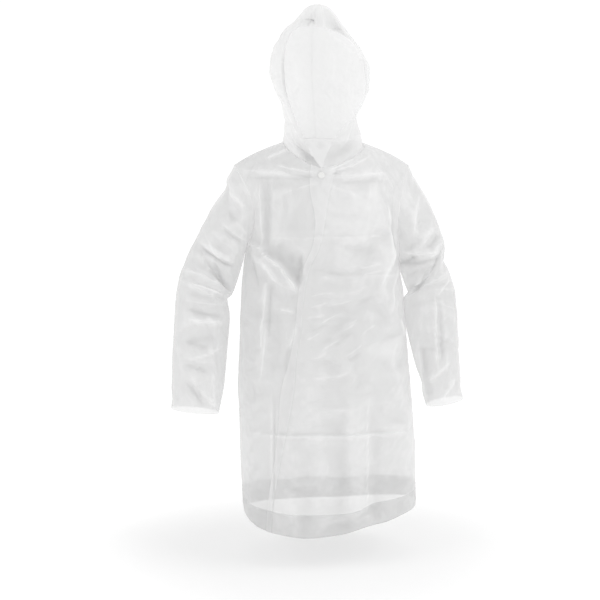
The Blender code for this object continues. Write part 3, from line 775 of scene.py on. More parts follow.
@dataclass
class SleeveTube:
    """A set-in sleeve: ellipses along it, which start on the armhole's own edge."""

    side: Side
    sections: tuple
    folds: tuple
    front_creases: tuple
    back_creases: tuple
    rows: int = 177
    blend: float = 0.40
    calm_share: float = 0.08
    facing_offset: float = 0.2
    facing_blend: float = 0.5

    def ellipses(self, places: Array, around: Array) -> Array:
        """Ellipses through each section's outer and inner points, at shares along the sleeve."""
        last = len(self.sections) - 1
        sizes = through_rows(numbered(self.sections), places * last)
        outer_x, outer_z, inner_x, inner_z, depth, forward = sizes.T[1:, :, None]
        turn = around[None] * 2 * math.pi
        swing = (1 - np.cos(turn)) / 2
        x = self.side.value * (inner_x + (outer_x - inner_x) * swing)
        z = inner_z + (outer_z - inner_z) * swing
        return stack(x, forward - depth * np.sin(turn), z)

    def build(self, armhole: Array) -> Panel:
        """Makes the sleeve.

        Args:
            armhole: the armhole's points, from the underarm by way of the front.

        Returns:
            The sleeve's panel, its first row on the armhole.
        """
        around = np.arange(len(armhole)) / len(armhole)
        places = np.linspace(0, 1, self.rows + 1)
        points = self.ellipses(places, around)
        fade = 1 - ease(places / self.blend)
        points = points + (armhole - points[0])[None] * fade[:, None, None]
        name = "sleeve_" + self.side.name.lower()
        panel = Panel(name + "_film", name, points, -self.side.value, wrap=True)
        calm = ease(places / self.calm_share)[:, None]
        panel.lift(round_relief(places[:, None], around[None], self.folds, True) * calm)
        for face, creases in ((Face.FRONT, self.front_creases), (Face.BACK, self.back_creases)):
            facing = ease(panel.normals[..., 1] * face.value / self.facing_blend + self.facing_offset)
            panel.crease(relief(panel.points[..., 0], panel.points[..., 2], creases) * facing * calm)
        return panel


# ---------------------------------------------------------------- hood


class HoodSection(NamedTuple):
    """One strip of half a hood, from its rim past its side to the middle seam."""

    rim_right: float
    rim_left: float
    rim_y: float
    rim_z: float
    side_x: float
    side_y: float
    side_z: float
    seam_y: float
    seam_z: float


@dataclass
class Hood:
    """The hood's two halves, welded along the crown and the nape."""

    sections: tuple = (
        HoodSection(0.000, 0.000, -0.126, -0.052, 0.103, 0.000, 0.014, 0.085, 0.026),
        HoodSection(0.033, 0.012, -0.127, -0.012, 0.098, -0.006, 0.046, 0.082, 0.058),
        HoodSection(0.060, 0.034, -0.124, 0.036, 0.093, -0.010, 0.084, 0.088, 0.102),
        HoodSection(0.083, 0.080, -0.117, 0.086, 0.100, -0.010, 0.126, 0.104, 0.152),
        HoodSection(0.098, 0.100, -0.109, 0.136, 0.117, -0.006, 0.170, 0.119, 0.206),
        HoodSection(0.102, 0.101, -0.102, 0.186, 0.123, 0.000, 0.214, 0.120, 0.262),
        HoodSection(0.099, 0.097, -0.097, 0.226, 0.110, 0.002, 0.254, 0.103, 0.312),
        HoodSection(0.089, 0.089, -0.094, 0.252, 0.083, -0.016, 0.290, 0.066, 0.348),
        HoodSection(0.078, 0.078, -0.093, 0.267, 0.054, -0.046, 0.315, 0.012, 0.363),
        HoodSection(0.069, 0.069, -0.094, 0.276, 0.039, -0.074, 0.315, -0.048, 0.348),
        HoodSection(0.062, 0.062, -0.096, 0.280, 0.032, -0.098, 0.290, -0.099, 0.292),
    )
    left_share: float = 0.96
    middle: float = -0.010
    roundness: float = 1.25
    tilt: float = 0.20
    tilt_from: float = 0.19
    tilt_rise: float = 0.08
    tilt_behind: float = 0.02
    tilt_depth: float = 0.09
    blend: float = 3.0
    rows: int = 117
    full_bend: float = 0.0110
    calm_rise: float = 0.06
    calm_seam: float = 0.10

    def strips(self, side: Side, rows: Array, along: Array) -> Array:
        """Half a hood: cubic strips from the rim to the flank and on to the middle seam.

        Args:
            side: which half.
            rows: places up the hood, in sections.
            along: places along each strip: 0 on the rim, 0.5 on the flank and 1 on the seam.

        Returns:
            The grid's points.
        """
        sign = side.value
        table = through_rows(numbered(self.sections), rows)[:, 1:]
        rim_right, rim_left, rim_y, rim_z, side_x, side_y, side_z, seam_y, seam_z = table.T
        rim_x = rim_right if side is Side.RIGHT else rim_left
        flank_x = side_x * (self.left_share if side is Side.LEFT else 1.0)
        rim = stack(self.middle + sign * rim_x, rim_y, rim_z)[:, None]
        flank = stack(self.middle + sign * flank_x, side_y, side_z)[:, None]
        seam = stack(np.full_like(seam_y, self.middle), seam_y, seam_z)[:, None]
        across_flank = (seam - rim) / 2
        far = np.linalg.norm(seam - flank, axis=-1, keepdims=True)
        across_seam = far * np.array((-sign * self.roundness, 0.0, 0.0))
        from_rim = (flank - rim) * 2 - across_flank
        part = np.where(along <= 0.5, along * 2, along * 2 - 1)[None, :, None]
        to_flank = cubic(part, rim, from_rim / 2, flank, across_flank)
        to_seam = cubic(part, flank, across_flank, seam, across_seam)
        return np.where((along <= 0.5)[None, :, None], to_flank, to_seam)

    def build(self, side: Side, neckline: Array, corner: int, folds: tuple, marks: tuple) -> Panel:
        """Makes half a hood on the neckline's own edge.

        Args:
            side: which half.
            neckline: the neckline's points, from the snap round to the nape.
            corner: the number of the point at the neck's side.
            folds: RoundFold rows over the half, in shares of its height and of its strips.
            marks: the same for dents and creases that also tone the film: painted shade in hollows, painted
                highlight on ridges.

        Returns:
            The half's panel, its first row on the neckline.
        """
        before = np.linspace(0, 0.5, corner + 1)
        behind = np.linspace(0.5, 1, len(neckline) - corner)[1:]
        along = np.concatenate([before, behind])
        rows = np.linspace(0, len(self.sections) - 1, self.rows + 1)
        points = self.strips(side, rows, along)
        lean = ease((points[..., 2] - self.tilt_from) / self.tilt_rise)
        lean = lean * ease((self.tilt_behind - points[..., 1]) / self.tilt_depth)
        points[..., 2] -= lean * self.tilt * (points[..., 0] - self.middle)
        fade = (1 - ease(rows / self.blend))[:, None, None]
        points = points + (neckline - points[0])[None] * fade
        name = "hood_" + side.name.lower()
        panel = Panel(name + "_film", name, points, side.value, full_bend=self.full_bend)
        up = rows / rows[-1]
        calm = ease(up / self.calm_rise)[:, None] * ease((1 - along) / self.calm_seam)[None]
        panel.lift(round_relief(up[:, None], along[None], folds, False) * calm)
        # These dents also set the crease tone: painted shade in hollows, painted highlight on ridges.
        height = round_relief(up[:, None], along[None], marks, False)
        panel.lift(height * calm)
        panel.marks = panel.marks + height / panel.full_mark
        return panel


# ---------------------------------------------------------------- cloth


def refined(grid: Array, axis: int, wrap: bool, times: int) -> Array:
    """Puts new lines between a grid's lines along one axis, on cubics with shared slopes.

    Args:
        grid: rows x columns x 3.
        axis: 0 for rows, 1 for columns.
        wrap: whether the last line joins the first one.
        times: how many steps each step becomes.

    Returns:
        The grid with its old lines at every `times`-th place.
    """
    lines = np.moveaxis(grid, axis, 0)
    if wrap:
        padded = np.concatenate([lines[-1:], lines, lines[:2]])
    else:
        padded = np.concatenate([2 * lines[:1] - lines[1:2], lines, 2 * lines[-1:] - lines[-2:-1]])
    before, start, end, after = padded[:-3], padded[1:-2], padded[2:-1], padded[3:]
    finer = np.empty((len(start) * times + (0 if wrap else 1), *lines.shape[1:]))
    if not wrap:
        finer[-1] = lines[-1]
    leaving, arriving = (end - before) / 2, (after - start) / 2
    for number in range(times):
        curve = cubic(number / times, start, leaving, end, arriving)
        finer[number : len(start) * times : times] = curve
    return np.moveaxis(finer, 0, axis)


@dataclass(frozen=True)
class Slack:
    """How the film buckles: it is cut slightly larger than the shape it hangs in.

    `most` is how far a point may move at most, and `fading` how fast that falls where it is held.
    """

    extra: float = 0.035
    hold: float = 0.02
    frames: int = 20
    every: int = 3
    tension: float = 20.0
    bending: float = 25.0
    pin_force: float = 0.6
    mass: float = 0.10
    most: float = 0.013
    calmed: int = 1
    fading: float = 0.7
    quality: int = 4
    damping: float = 10.0
    air: float = 4.0
    joined_within: float = 2e-5

    def settle(self, panels: list[Panel], holds: list[Array]) -> None:
        """Joins the panels at their seams, lets every third line of them buckle and moves them along.

        Args:
            panels: all panels of the coat.
            holds: for each panel, how firmly each point keeps its place, from 0 to 1.
        """
        every = self.every
        sparse = [panel.points[::every, ::every] for panel in panels]
        places = np.concatenate([grid.reshape(-1, 3) for grid in sparse])
        weights = np.concatenate([hold[::every, ::every].ravel() for hold in holds])
        keys = np.round(places / self.joined_within).astype(np.int64)
        _, first, joined = np.unique(keys, axis=0, return_index=True, return_inverse=True)
        joined = joined.ravel()
        faces, start = [], 0
        for panel, grid in zip(panels, sparse):
            rows, columns = grid.shape[:2]
            faces.append(joined[grid_faces(rows, columns, panel.wrap) + start])
            start += rows * columns
        moved = self.buckled(places[first], np.concatenate(faces), weights[first]) - places[first]
        far = np.linalg.norm(moved, axis=1, keepdims=True)
        moved = (moved * self.most * np.tanh(far / self.most) / np.maximum(far, 1e-9))[joined]
        start = 0
        for panel, grid, hold in zip(panels, sparse, holds):
            size = grid.shape[0] * grid.shape[1]
            shift = moved[start : start + size].reshape(grid.shape)
            firm = np.clip(hold[::every, ::every, None], 0, 1)
            shift = shift * firm + evened(shift, panel.wrap, 1, self.calmed) * (1 - firm)
            shift = shift * (1 - firm) ** self.fading
            finer = refined(shift, 0, False, every)
            panel.points = panel.points + refined(finer, 1, panel.wrap, every)
            start += size

    def buckled(self, places: Array, faces: Array, weights: Array) -> Array:
        """Runs the cloth and returns where its points end.

        Args:
            places: the joined film's points.
            faces: its quads.
            weights: how firmly each point keeps its place.

        Returns:
            The points after the last frame.
        """
        mesh = bpy.data.meshes.new("slack film")
        mesh.from_pydata(places.tolist(), [], faces.tolist())
        cloth = bpy.data.objects.new("slack film", mesh)
        bpy.context.scene.collection.objects.link(cloth)
        group = cloth.vertex_groups.new(name="hold")
        levels = np.round(np.clip(weights, 0, 1), 2)
        for level in np.unique(levels):
            group.add(np.flatnonzero(levels == level).tolist(), float(level), "REPLACE")
        modifier = cloth.modifiers.new("cloth", "CLOTH")
        settings = modifier.settings
        settings.quality = self.quality
        settings.mass = self.mass
        settings.tension_stiffness = settings.compression_stiffness = self.tension
        settings.shear_stiffness = self.tension / 2
        settings.bending_stiffness = self.bending
        settings.tension_damping = settings.compression_damping = self.damping
        settings.air_damping = self.air
        settings.vertex_group_mass = "hold"
        settings.pin_stiffness = self.pin_force
        settings.vertex_group_shrink = "hold"
        settings.shrink_min, settings.shrink_max = -self.extra, 0.0
        settings.effector_weights.gravity = 0.0
        modifier.collision_settings.use_collision = False
        modifier.point_cache.frame_start = 1
        modifier.point_cache.frame_end = self.frames
        scene = bpy.context.scene
        for number in range(1, self.frames + 1):
            scene.frame_set(number)
        seen = cloth.evaluated_get(bpy.context.evaluated_depsgraph_get()).to_mesh()
        flat = np.empty(len(seen.vertices) * 3)
        seen.vertices.foreach_get("co", flat)
        bpy.data.objects.remove(cloth)
        bpy.data.meshes.remove(mesh)
        scene.frame_set(1)
        return flat.reshape(-1, 3)


# ---------------------------------------------------------------- meshes


def film_mesh(name: str, points: Array, wrap: bool, outward: int, creased: Array) -> bpy.types.Object:
    """Makes one layer of film from its grid, with a UV map in metres along the film.

    Args:
        name: the piece's name.
        points: its grid of points.
        wrap: whether the last column joins the first one.
        outward: sign that turns the grid's own normals outwards.
        creased: the film's crease tone at each point, 0 where it is smooth; above 0 whiter, partly painted
            highlight, below 0 greyer as painted shade.

    Returns:
        The object, in the scene, at the origin.
    """
    rows, columns = points.shape[:2]
    faces = grid_faces(rows, columns, wrap)
    flat_grid = np.concatenate([points, points[:, :1]], axis=1) if wrap else points
    corners = grid_faces(rows, flat_grid.shape[1], False)
    across = run_lengths(flat_grid, 1)
    up = run_lengths(flat_grid, 0)
    flat = np.stack([across - across[:, -1:] / 2, up], axis=-1).reshape(-1, 2)
    if outward < 0:
        faces, corners = faces[:, ::-1], corners[:, ::-1]
    mesh = bpy.data.meshes.new(name)
    mesh.vertices.add(rows * columns)
    mesh.vertices.foreach_set("co", points.astype(np.float32).ravel())
    mesh.loops.add(faces.size)
    mesh.loops.foreach_set("vertex_index", faces.astype(np.int32).ravel())
    mesh.polygons.add(len(faces))
    mesh.polygons.foreach_set("loop_start", np.arange(0, faces.size, 4, dtype=np.int32))
    mesh.update(calc_edges=True)
    mesh.uv_layers.new(name="film")
    mesh.uv_layers["film"].data.foreach_set("uv", flat[corners.ravel()].astype(np.float32).ravel())
    mesh.attributes.new("creased", "FLOAT", "POINT")
    mesh.attributes["creased"].data.foreach_set("value", creased.astype(np.float32).ravel())
    mesh.shade_smooth()
    mesh.validate()
    piece = bpy.data.objects.new(name, mesh)
    bpy.context.scene.collection.objects.link(piece)
    return piece


# ---------------------------------------------------------------- finishes


def feed(node: bpy.types.Node, inputs: dict) -> None:
    """Sets a node's inputs to the numbers given, or links them to the sockets given."""
    for name, value in inputs.items():
        if isinstance(value, bpy.types.NodeSocket):
            node.id_data.links.new(value, node.inputs[name])
        else:
            node.inputs[name].default_value = value


def add_node(
    tree: bpy.types.NodeTree, kind: str, inputs: dict | None = None, **settings: str
) -> bpy.types.Node:
    """Adds a node.

    Args:
        tree: the tree it goes into.
        kind: its type.
        inputs: a number or a socket for each of its inputs that isn't left as it is.
        settings: its other settings.

    Returns:
        The node.
    """
    node = tree.nodes.new(kind)
    for name, value in settings.items():
        setattr(node, name, value)
    feed(node, inputs or {})
    return node


@dataclass(frozen=True)
class FilmFinish:
    """Thin milky film: partly clear, partly scattering, with a soft gloss and tiny wrinkles.

    Where the film is creased it turns whiter and cloudier on ridges and greyer in valleys: partly its own
    crease whitening, partly painted highlight on ridges and painted shade in valleys. Patches and whole
    panels get painted light and shade too, and the colour is made lighter towards grazing angles, a
    painted sheen.
    """

    brightness: float = 0.72
    # Crease tone: ridges whiter and valleys greyer by this much, crease whitening with painted highlight and
    # painted shade.
    ridge_gain: float = 0.15
    cloudiness: float = 0.54
    cloud_gain: float = 0.13
    through_share: float = 0.50
    gloss: float = 0.05
    grazing_gloss: float = 0.16
    gloss_roughness: float = 0.34
    # Painted sheen: the colour is made lighter towards grazing angles by this much, at this power.
    sheen: float = 0.10
    sheen_power: float = 2.5
    gloss_power: float = 4.0
    fine_scale: float = 90.0
    fine_detail: float = 4.0
    crackle_scale: float = 42.0
    crackle_share: float = 0.5
    wrinkle_strength: float = 0.30
    wrinkle_depth: float = 0.0006
    uneven_scale: float = 14.0
    uneven_detail: float = 5.0
    uneven_spread: float = 0.36

    def build(self, name: str) -> bpy.types.Material:
        """Makes the material.

        Args:
            name: the material's name.

        Returns:
            The material.
        """
        material = bpy.data.materials.new(name)
        material.use_nodes = True
        tree = material.node_tree
        tree.nodes.clear()

        def reckoned(operation: str, *values: bpy.types.NodeSocket | float) -> bpy.types.NodeSocket:
            """A sum, product or power of sockets and numbers."""
            inputs = dict(enumerate(values))
            return add_node(tree, "ShaderNodeMath", inputs, operation=operation).outputs[0]

        def mixed(share: bpy.types.NodeSocket | float, *shaders: bpy.types.Node) -> bpy.types.Node:
            """Two shaders mixed by a share of the second one."""
            inputs = enumerate([share, *(shader.outputs[0] for shader in shaders)])
            return add_node(tree, "ShaderNodeMixShader", dict(inputs))

        def noise(scale: float, detail: float) -> bpy.types.NodeSocket:
            """Noise along the film."""
            inputs = {"Vector": film_map, "Scale": scale, "Detail": detail}
            return add_node(tree, "ShaderNodeTexNoise", inputs).outputs["Fac"]

        film_map = add_node(tree, "ShaderNodeUVMap", uv_map="film").outputs["UV"]
        crackle = add_node(
            tree,
            "ShaderNodeTexVoronoi",
            {"Vector": film_map, "Scale": self.crackle_scale},
            feature="DISTANCE_TO_EDGE",
        ).outputs["Distance"]
        fine = noise(self.fine_scale, self.fine_detail)
        wrinkles = reckoned("MULTIPLY_ADD", crackle, self.crackle_share, fine)
        bump = add_node(tree, "ShaderNodeBump", {
            "Strength": self.wrinkle_strength, "Distance": self.wrinkle_depth, "Height": wrinkles,
        }).outputs[0]

        creased = add_node(tree, "ShaderNodeAttribute", attribute_name="creased").outputs["Fac"]
        uneven = noise(self.uneven_scale, self.uneven_detail)
        spread = reckoned("MULTIPLY_ADD", uneven, self.uneven_spread, -self.uneven_spread / 2)
        whole = reckoned("ADD", creased, spread)
        # Crease tone on the colour: whiter ridges, partly painted highlight; greyer valleys as painted
        # shade; painted light and shade of patches and panels.
        plain = reckoned("MULTIPLY_ADD", whole, self.ridge_gain, self.brightness)
        either = reckoned("ABSOLUTE", whole)
        cloud = reckoned("MULTIPLY_ADD", either, self.cloud_gain, self.cloudiness)

        facing = add_node(tree, "ShaderNodeLayerWeight", {"Normal": bump}).outputs["Facing"]
        # Painted sheen: lighter colour towards grazing angles.
        sheen = reckoned("POWER", facing, self.sheen_power)
        bright = reckoned("MULTIPLY_ADD", sheen, self.sheen, plain)
        diffuse = add_node(tree, "ShaderNodeBsdfDiffuse", {"Normal": bump, "Color": bright})
        through = add_node(tree, "ShaderNodeBsdfTranslucent", {"Normal": bump, "Color": bright})
        gloss = add_node(tree, "ShaderNodeBsdfGlossy", {
            "Normal": bump, "Roughness": self.gloss_roughness,
        })
        milky = mixed(self.through_share, diffuse, through)
        body = mixed(cloud, add_node(tree, "ShaderNodeBsdfTransparent"), milky)
        grazing = reckoned("POWER", facing, self.gloss_power)
        edge = reckoned("MULTIPLY_ADD", grazing, self.grazing_gloss, self.gloss)
        surface = mixed(edge, body, gloss).outputs[0]
        add_node(tree, "ShaderNodeOutputMaterial", {"Surface": surface})
        return material


# ---------------------------------------------------------------- tables

FRONT_FOLDS = (
    Fold(-0.188, -0.262, -0.100, -0.362, 0.020, 0.018),  # diagonal ridge from the right underarm
    Fold(-0.136, -0.232, -0.078, -0.312, 0.024, -0.009),  # hollow above it
    Fold(-0.160, -0.330, -0.180, -0.600, 0.022, 0.011),  # long fold under it
    Fold(-0.128, -0.400, -0.140, -0.580, 0.020, -0.009),
    Fold(0.020, -0.080, 0.150, -0.066, 0.022, 0.008),  # pulls from the snap to the shoulders
    Fold(-0.065, -0.076, -0.190, -0.064, 0.020, 0.009),
    Fold(0.175, -0.230, 0.110, -0.400, 0.026, 0.012),  # drape from the left underarm
    Fold(0.120, -0.200, 0.070, -0.330, 0.024, -0.008),
    Fold(0.160, -0.500, 0.205, -0.970, 0.034, 0.014),  # flutes that open towards the hem
    Fold(0.105, -0.620, 0.120, -0.970, 0.026, -0.010),
    Fold(0.050, -0.640, 0.060, -0.970, 0.030, 0.009),
    Fold(-0.060, -0.700, -0.070, -0.970, 0.030, -0.009),
    Fold(-0.187, -0.700, -0.190, -0.960, 0.024, 0.010),
)
BACK_FOLDS = (
    Fold(-0.140, -0.110, -0.060, -0.340, 0.030, 0.012),  # drape below the right shoulder blade
    Fold(0.140, -0.100, 0.050, -0.350, 0.030, 0.012),
    Fold(0.175, -0.290, 0.090, -0.430, 0.026, 0.013),
    Fold(-0.175, -0.255, -0.100, -0.410, 0.026, 0.013),
    Fold(-0.125, -0.450, -0.145, -0.970, 0.034, 0.016),  # flutes down to the hem
    Fold(-0.060, -0.560, -0.070, -0.970, 0.030, -0.010),
    Fold(0.010, -0.480, 0.000, -0.970, 0.036, 0.014),
    Fold(0.080, -0.600, 0.085, -0.970, 0.028, -0.010),
    Fold(0.145, -0.500, 0.160, -0.970, 0.034, 0.016),
)
# Narrow creases. These and the other Crease tables also set the crease tone: painted highlight on their
# ridges, painted shade in their hollows.
FRONT_CREASES = (
    Crease(-0.205, -0.240, -0.165, -0.256, 0.006, 0.0040),  # edge of the ridge
    Crease(-0.171, -0.258, -0.127, -0.299, 0.006, 0.0058, 0.003),
    Crease(-0.131, -0.293, -0.088, -0.360, 0.006, 0.0058),
    Crease(-0.136, -0.256, -0.080, -0.338, 0.010, -0.0032, bend=Bend.SOFT),  # dent above the ridge
    Crease(-0.104, -0.262, -0.077, -0.342, 0.010, -0.0030, bend=Bend.SOFT),
    Crease(-0.084, -0.254, -0.076, -0.330, 0.009, -0.0022, bend=Bend.SOFT),
    Crease(-0.073, -0.262, -0.088, -0.345, 0.006, -0.0040),
    Crease(-0.169, -0.285, -0.135, -0.337, 0.006, 0.0034),
    Crease(-0.158, -0.336, -0.176, -0.526, 0.005, 0.0038, 0.003),
    Crease(-0.148, -0.335, -0.155, -0.470, 0.008, -0.0034),
    Crease(-0.163, -0.440, -0.178, -0.590, 0.006, 0.0030, -0.002),
    Crease(-0.130, -0.402, -0.093, -0.407, 0.005, 0.0034),
    Crease(-0.090, -0.440, -0.112, -0.505, 0.006, 0.0034, -0.003),
    Crease(-0.106, -0.480, -0.117, -0.570, 0.008, -0.0028),
    Crease(-0.198, -0.263, -0.178, -0.347, 0.006, -0.0050),  # under the armhole
    Crease(-0.155, -0.086, -0.158, -0.255, 0.010, -0.0042, bend=Bend.SOFT),  # hollow beside the armhole
    Crease(-0.172, -0.090, -0.167, -0.240, 0.005, 0.0034),
    Crease(-0.133, -0.046, -0.036, -0.064, 0.0040, 0.0032, 0.002),  # pulls from the snap
    Crease(-0.150, -0.029, -0.088, -0.003, 0.0040, 0.0046),
    Crease(-0.126, -0.058, -0.038, -0.076, 0.0045, -0.0030, 0.002),
    Crease(-0.220, -0.058, -0.060, -0.070, 0.0045, 0.0026, -0.002),
    Crease(-0.200, -0.078, -0.045, -0.082, 0.0050, -0.0020, -0.002),
    Crease(-0.036, -0.090, -0.120, -0.116, 0.005, 0.0018, 0.002),
    Crease(-0.008, -0.060, 0.060, -0.030, 0.0040, 0.0026),
    Crease(0.000, -0.070, 0.054, -0.050, 0.0045, -0.0024),
    Crease(-0.002, -0.063, 0.108, -0.026, 0.0040, 0.0026, 0.002),
    Crease(-0.002, -0.073, 0.150, -0.067, 0.0045, 0.0028, 0.003),
    Crease(0.020, -0.088, 0.150, -0.090, 0.0050, -0.0020),
    Crease(-0.012, -0.092, 0.070, -0.124, 0.005, 0.0016),
    Crease(0.166, -0.130, 0.178, -0.304, 0.006, -0.0046, 0.002),  # along the left armhole
    Crease(0.152, -0.140, 0.161, -0.290, 0.005, 0.0034, -0.002),
    Crease(0.098, -0.223, 0.131, -0.220, 0.004, 0.0018),
    Crease(0.070, -0.301, 0.130, -0.291, 0.004, 0.0022),
    Crease(0.076, -0.317, 0.124, -0.310, 0.004, 0.0018),
    Crease(0.176, -0.262, 0.120, -0.352, 0.007, 0.0030, 0.003),
    Crease(0.190, -0.300, 0.150, -0.420, 0.008, 0.0026),
    Crease(0.184, -0.436, 0.197, -0.486, 0.007, 0.0036),
    Crease(-0.005, -0.165, 0.070, -0.170, 0.010, -0.0009, 0.004, Bend.SOFT),  # soft dents over the chest
    Crease(0.010, -0.240, 0.120, -0.262, 0.010, -0.0014, 0.005),
    Crease(-0.050, -0.305, 0.030, -0.322, 0.012, -0.0018, -0.005),
    Crease(-0.160, -0.221, 0.170, -0.223, 0.004, 0.0006, bend=Bend.STEP),  # folded flat in its pack
    Crease(-0.040, -0.318, 0.180, -0.320, 0.004, 0.0005, bend=Bend.STEP),
    Crease(-0.190, -0.719, 0.210, -0.723, 0.004, 0.0014, bend=Bend.STEP),
    Crease(-0.139, -0.620, -0.141, -0.925, 0.003, 0.0011),
    Crease(-0.145, -0.620, -0.148, -0.925, 0.003, 0.0013, bend=Bend.STEP),
    Crease(-0.152, -0.640, -0.153, -0.905, 0.003, 0.0010),
    Crease(0.088, -0.640, 0.090, -0.930, 0.003, 0.0016, 0.003),
    Crease(-0.070, -0.420, -0.016, -0.416, 0.0045, 0.0014, 0.003),  # slack over the belly
    Crease(-0.030, -0.440, 0.030, -0.413, 0.0045, 0.0017, -0.004),
    Crease(-0.012, -0.470, 0.062, -0.438, 0.0050, 0.0017, 0.005),
    Crease(-0.026, -0.505, 0.030, -0.477, 0.0050, 0.0016, -0.004),
    Crease(0.026, -0.522, 0.074, -0.492, 0.0045, 0.0014, 0.003),
    Crease(0.022, -0.457, 0.072, -0.429, 0.0045, 0.0013, -0.003),
    Crease(-0.010, -0.390, 0.052, -0.380, 0.0050, 0.0016, 0.004),
    Crease(-0.056, -0.371, 0.006, -0.361, 0.0045, 0.0013, -0.003),
    Crease(0.034, -0.362, 0.086, -0.346, 0.0045, 0.0011, 0.003),
    Crease(-0.058, -0.398, -0.012, -0.386, 0.0040, 0.0012),
    Crease(-0.066, -0.478, -0.030, -0.458, 0.0040, 0.0014, 0.002),
    Crease(0.072, -0.470, 0.112, -0.446, 0.0045, 0.0011, -0.002),
    Crease(-0.002, -0.498, 0.048, -0.464, 0.0040, -0.0018),
    Crease(-0.055, -0.455, -0.008, -0.434, 0.0045, -0.0018, 0.003),
    Crease(0.035, -0.532, 0.074, -0.513, 0.0045, -0.0016),
    Crease(-0.060, -0.528, -0.014, -0.507, 0.0050, 0.0014, 0.004),
    Crease(0.064, -0.398, 0.106, -0.374, 0.0050, -0.0017, -0.003),
    Crease(-0.050, -0.574, 0.040, -0.561, 0.0060, 0.0016, 0.006),
)
# Painted light (above 0) and painted shade (below 0) over both fronts.
FRONT_LIGHT_AND_SHADE = (
    Patch(0.045, -0.170, 0.085, 0.090, 0.75),  # painted light over the chest
    Patch(0.120, -0.300, 0.060, 0.120, 0.25),
    Patch(0.020, -0.450, 0.130, 0.110, -0.30),  # painted shade over the belly
    Patch(-0.190, -0.450, 0.030, 0.250, -0.35),  # painted shade down the side seams
    Patch(0.205, -0.450, 0.030, 0.250, -0.20),
)
BACK_CREASES = (
    Crease(-0.190, -0.222, 0.190, -0.220, 0.004, 0.0010, bend=Bend.STEP),
    Crease(-0.200, -0.470, 0.200, -0.472, 0.004, 0.0011, bend=Bend.STEP),
    Crease(-0.205, -0.720, 0.215, -0.722, 0.004, 0.0012, bend=Bend.STEP),
    Crease(-0.004, -0.080, -0.006, -0.930, 0.003, 0.0010, bend=Bend.STEP),
    Crease(0.110, -0.420, 0.112, -0.930, 0.003, 0.0009, bend=Bend.STEP),
    Crease(-0.112, -0.420, -0.110, -0.930, 0.003, 0.0009, bend=Bend.STEP),
    Crease(-0.175, -0.270, -0.110, -0.330, 0.007, 0.0034, 0.004),
    Crease(0.172, -0.300, 0.100, -0.370, 0.007, 0.0034, -0.004),
    Crease(-0.160, -0.130, -0.060, -0.110, 0.008, 0.0026, 0.004),
    Crease(0.160, -0.130, 0.070, -0.105, 0.008, 0.0026, -0.004),
)
SLEEVE_RIGHT = (
    SleeveSection(0.228, -0.045, 0.199, -0.262, 0.070, 0.004),
    SleeveSection(0.254, -0.095, 0.207, -0.278, 0.076, 0.004),
    SleeveSection(0.280, -0.145, 0.216, -0.296, 0.078, 0.002),
    SleeveSection(0.301, -0.196, 0.224, -0.315, 0.076, 0.000),
    SleeveSection(0.325, -0.247, 0.232, -0.336, 0.073, -0.002),
    SleeveSection(0.346, -0.290, 0.240, -0.358, 0.070, -0.004),
    SleeveSection(0.361, -0.330, 0.246, -0.380, 0.068, -0.007),
    SleeveSection(0.370, -0.366, 0.249, -0.402, 0.066, -0.010),
    SleeveSection(0.377, -0.415, 0.248, -0.440, 0.062, -0.015),
    SleeveSection(0.383, -0.478, 0.254, -0.500, 0.058, -0.021),
    SleeveSection(0.391, -0.567, 0.261, -0.576, 0.052, -0.030),
    SleeveSection(0.395, -0.630, 0.269, -0.638, 0.048, -0.037),
    SleeveSection(0.398, -0.662, 0.276, -0.677, 0.046, -0.041),
)
SLEEVE_LEFT = (
    SleeveSection(0.228, -0.045, 0.200, -0.308, 0.070, 0.004),
    SleeveSection(0.250, -0.088, 0.208, -0.320, 0.076, 0.004),
    SleeveSection(0.276, -0.135, 0.216, -0.333, 0.078, 0.002),
    SleeveSection(0.300, -0.187, 0.223, -0.346, 0.077, 0.000),
    SleeveSection(0.322, -0.240, 0.229, -0.360, 0.073, -0.002),
    SleeveSection(0.331, -0.296, 0.234, -0.378, 0.069, -0.005),
    SleeveSection(0.342, -0.350, 0.225, -0.400, 0.066, -0.009),
    SleeveSection(0.349, -0.405, 0.225, -0.434, 0.062, -0.014),
    SleeveSection(0.354, -0.460, 0.231, -0.480, 0.058, -0.020),
    SleeveSection(0.359, -0.520, 0.241, -0.530, 0.054, -0.026),
    SleeveSection(0.361, -0.580, 0.252, -0.590, 0.050, -0.032),
    SleeveSection(0.364, -0.631, 0.262, -0.641, 0.047, -0.037),
    SleeveSection(0.371, -0.656, 0.271, -0.676, 0.045, -0.041),
)
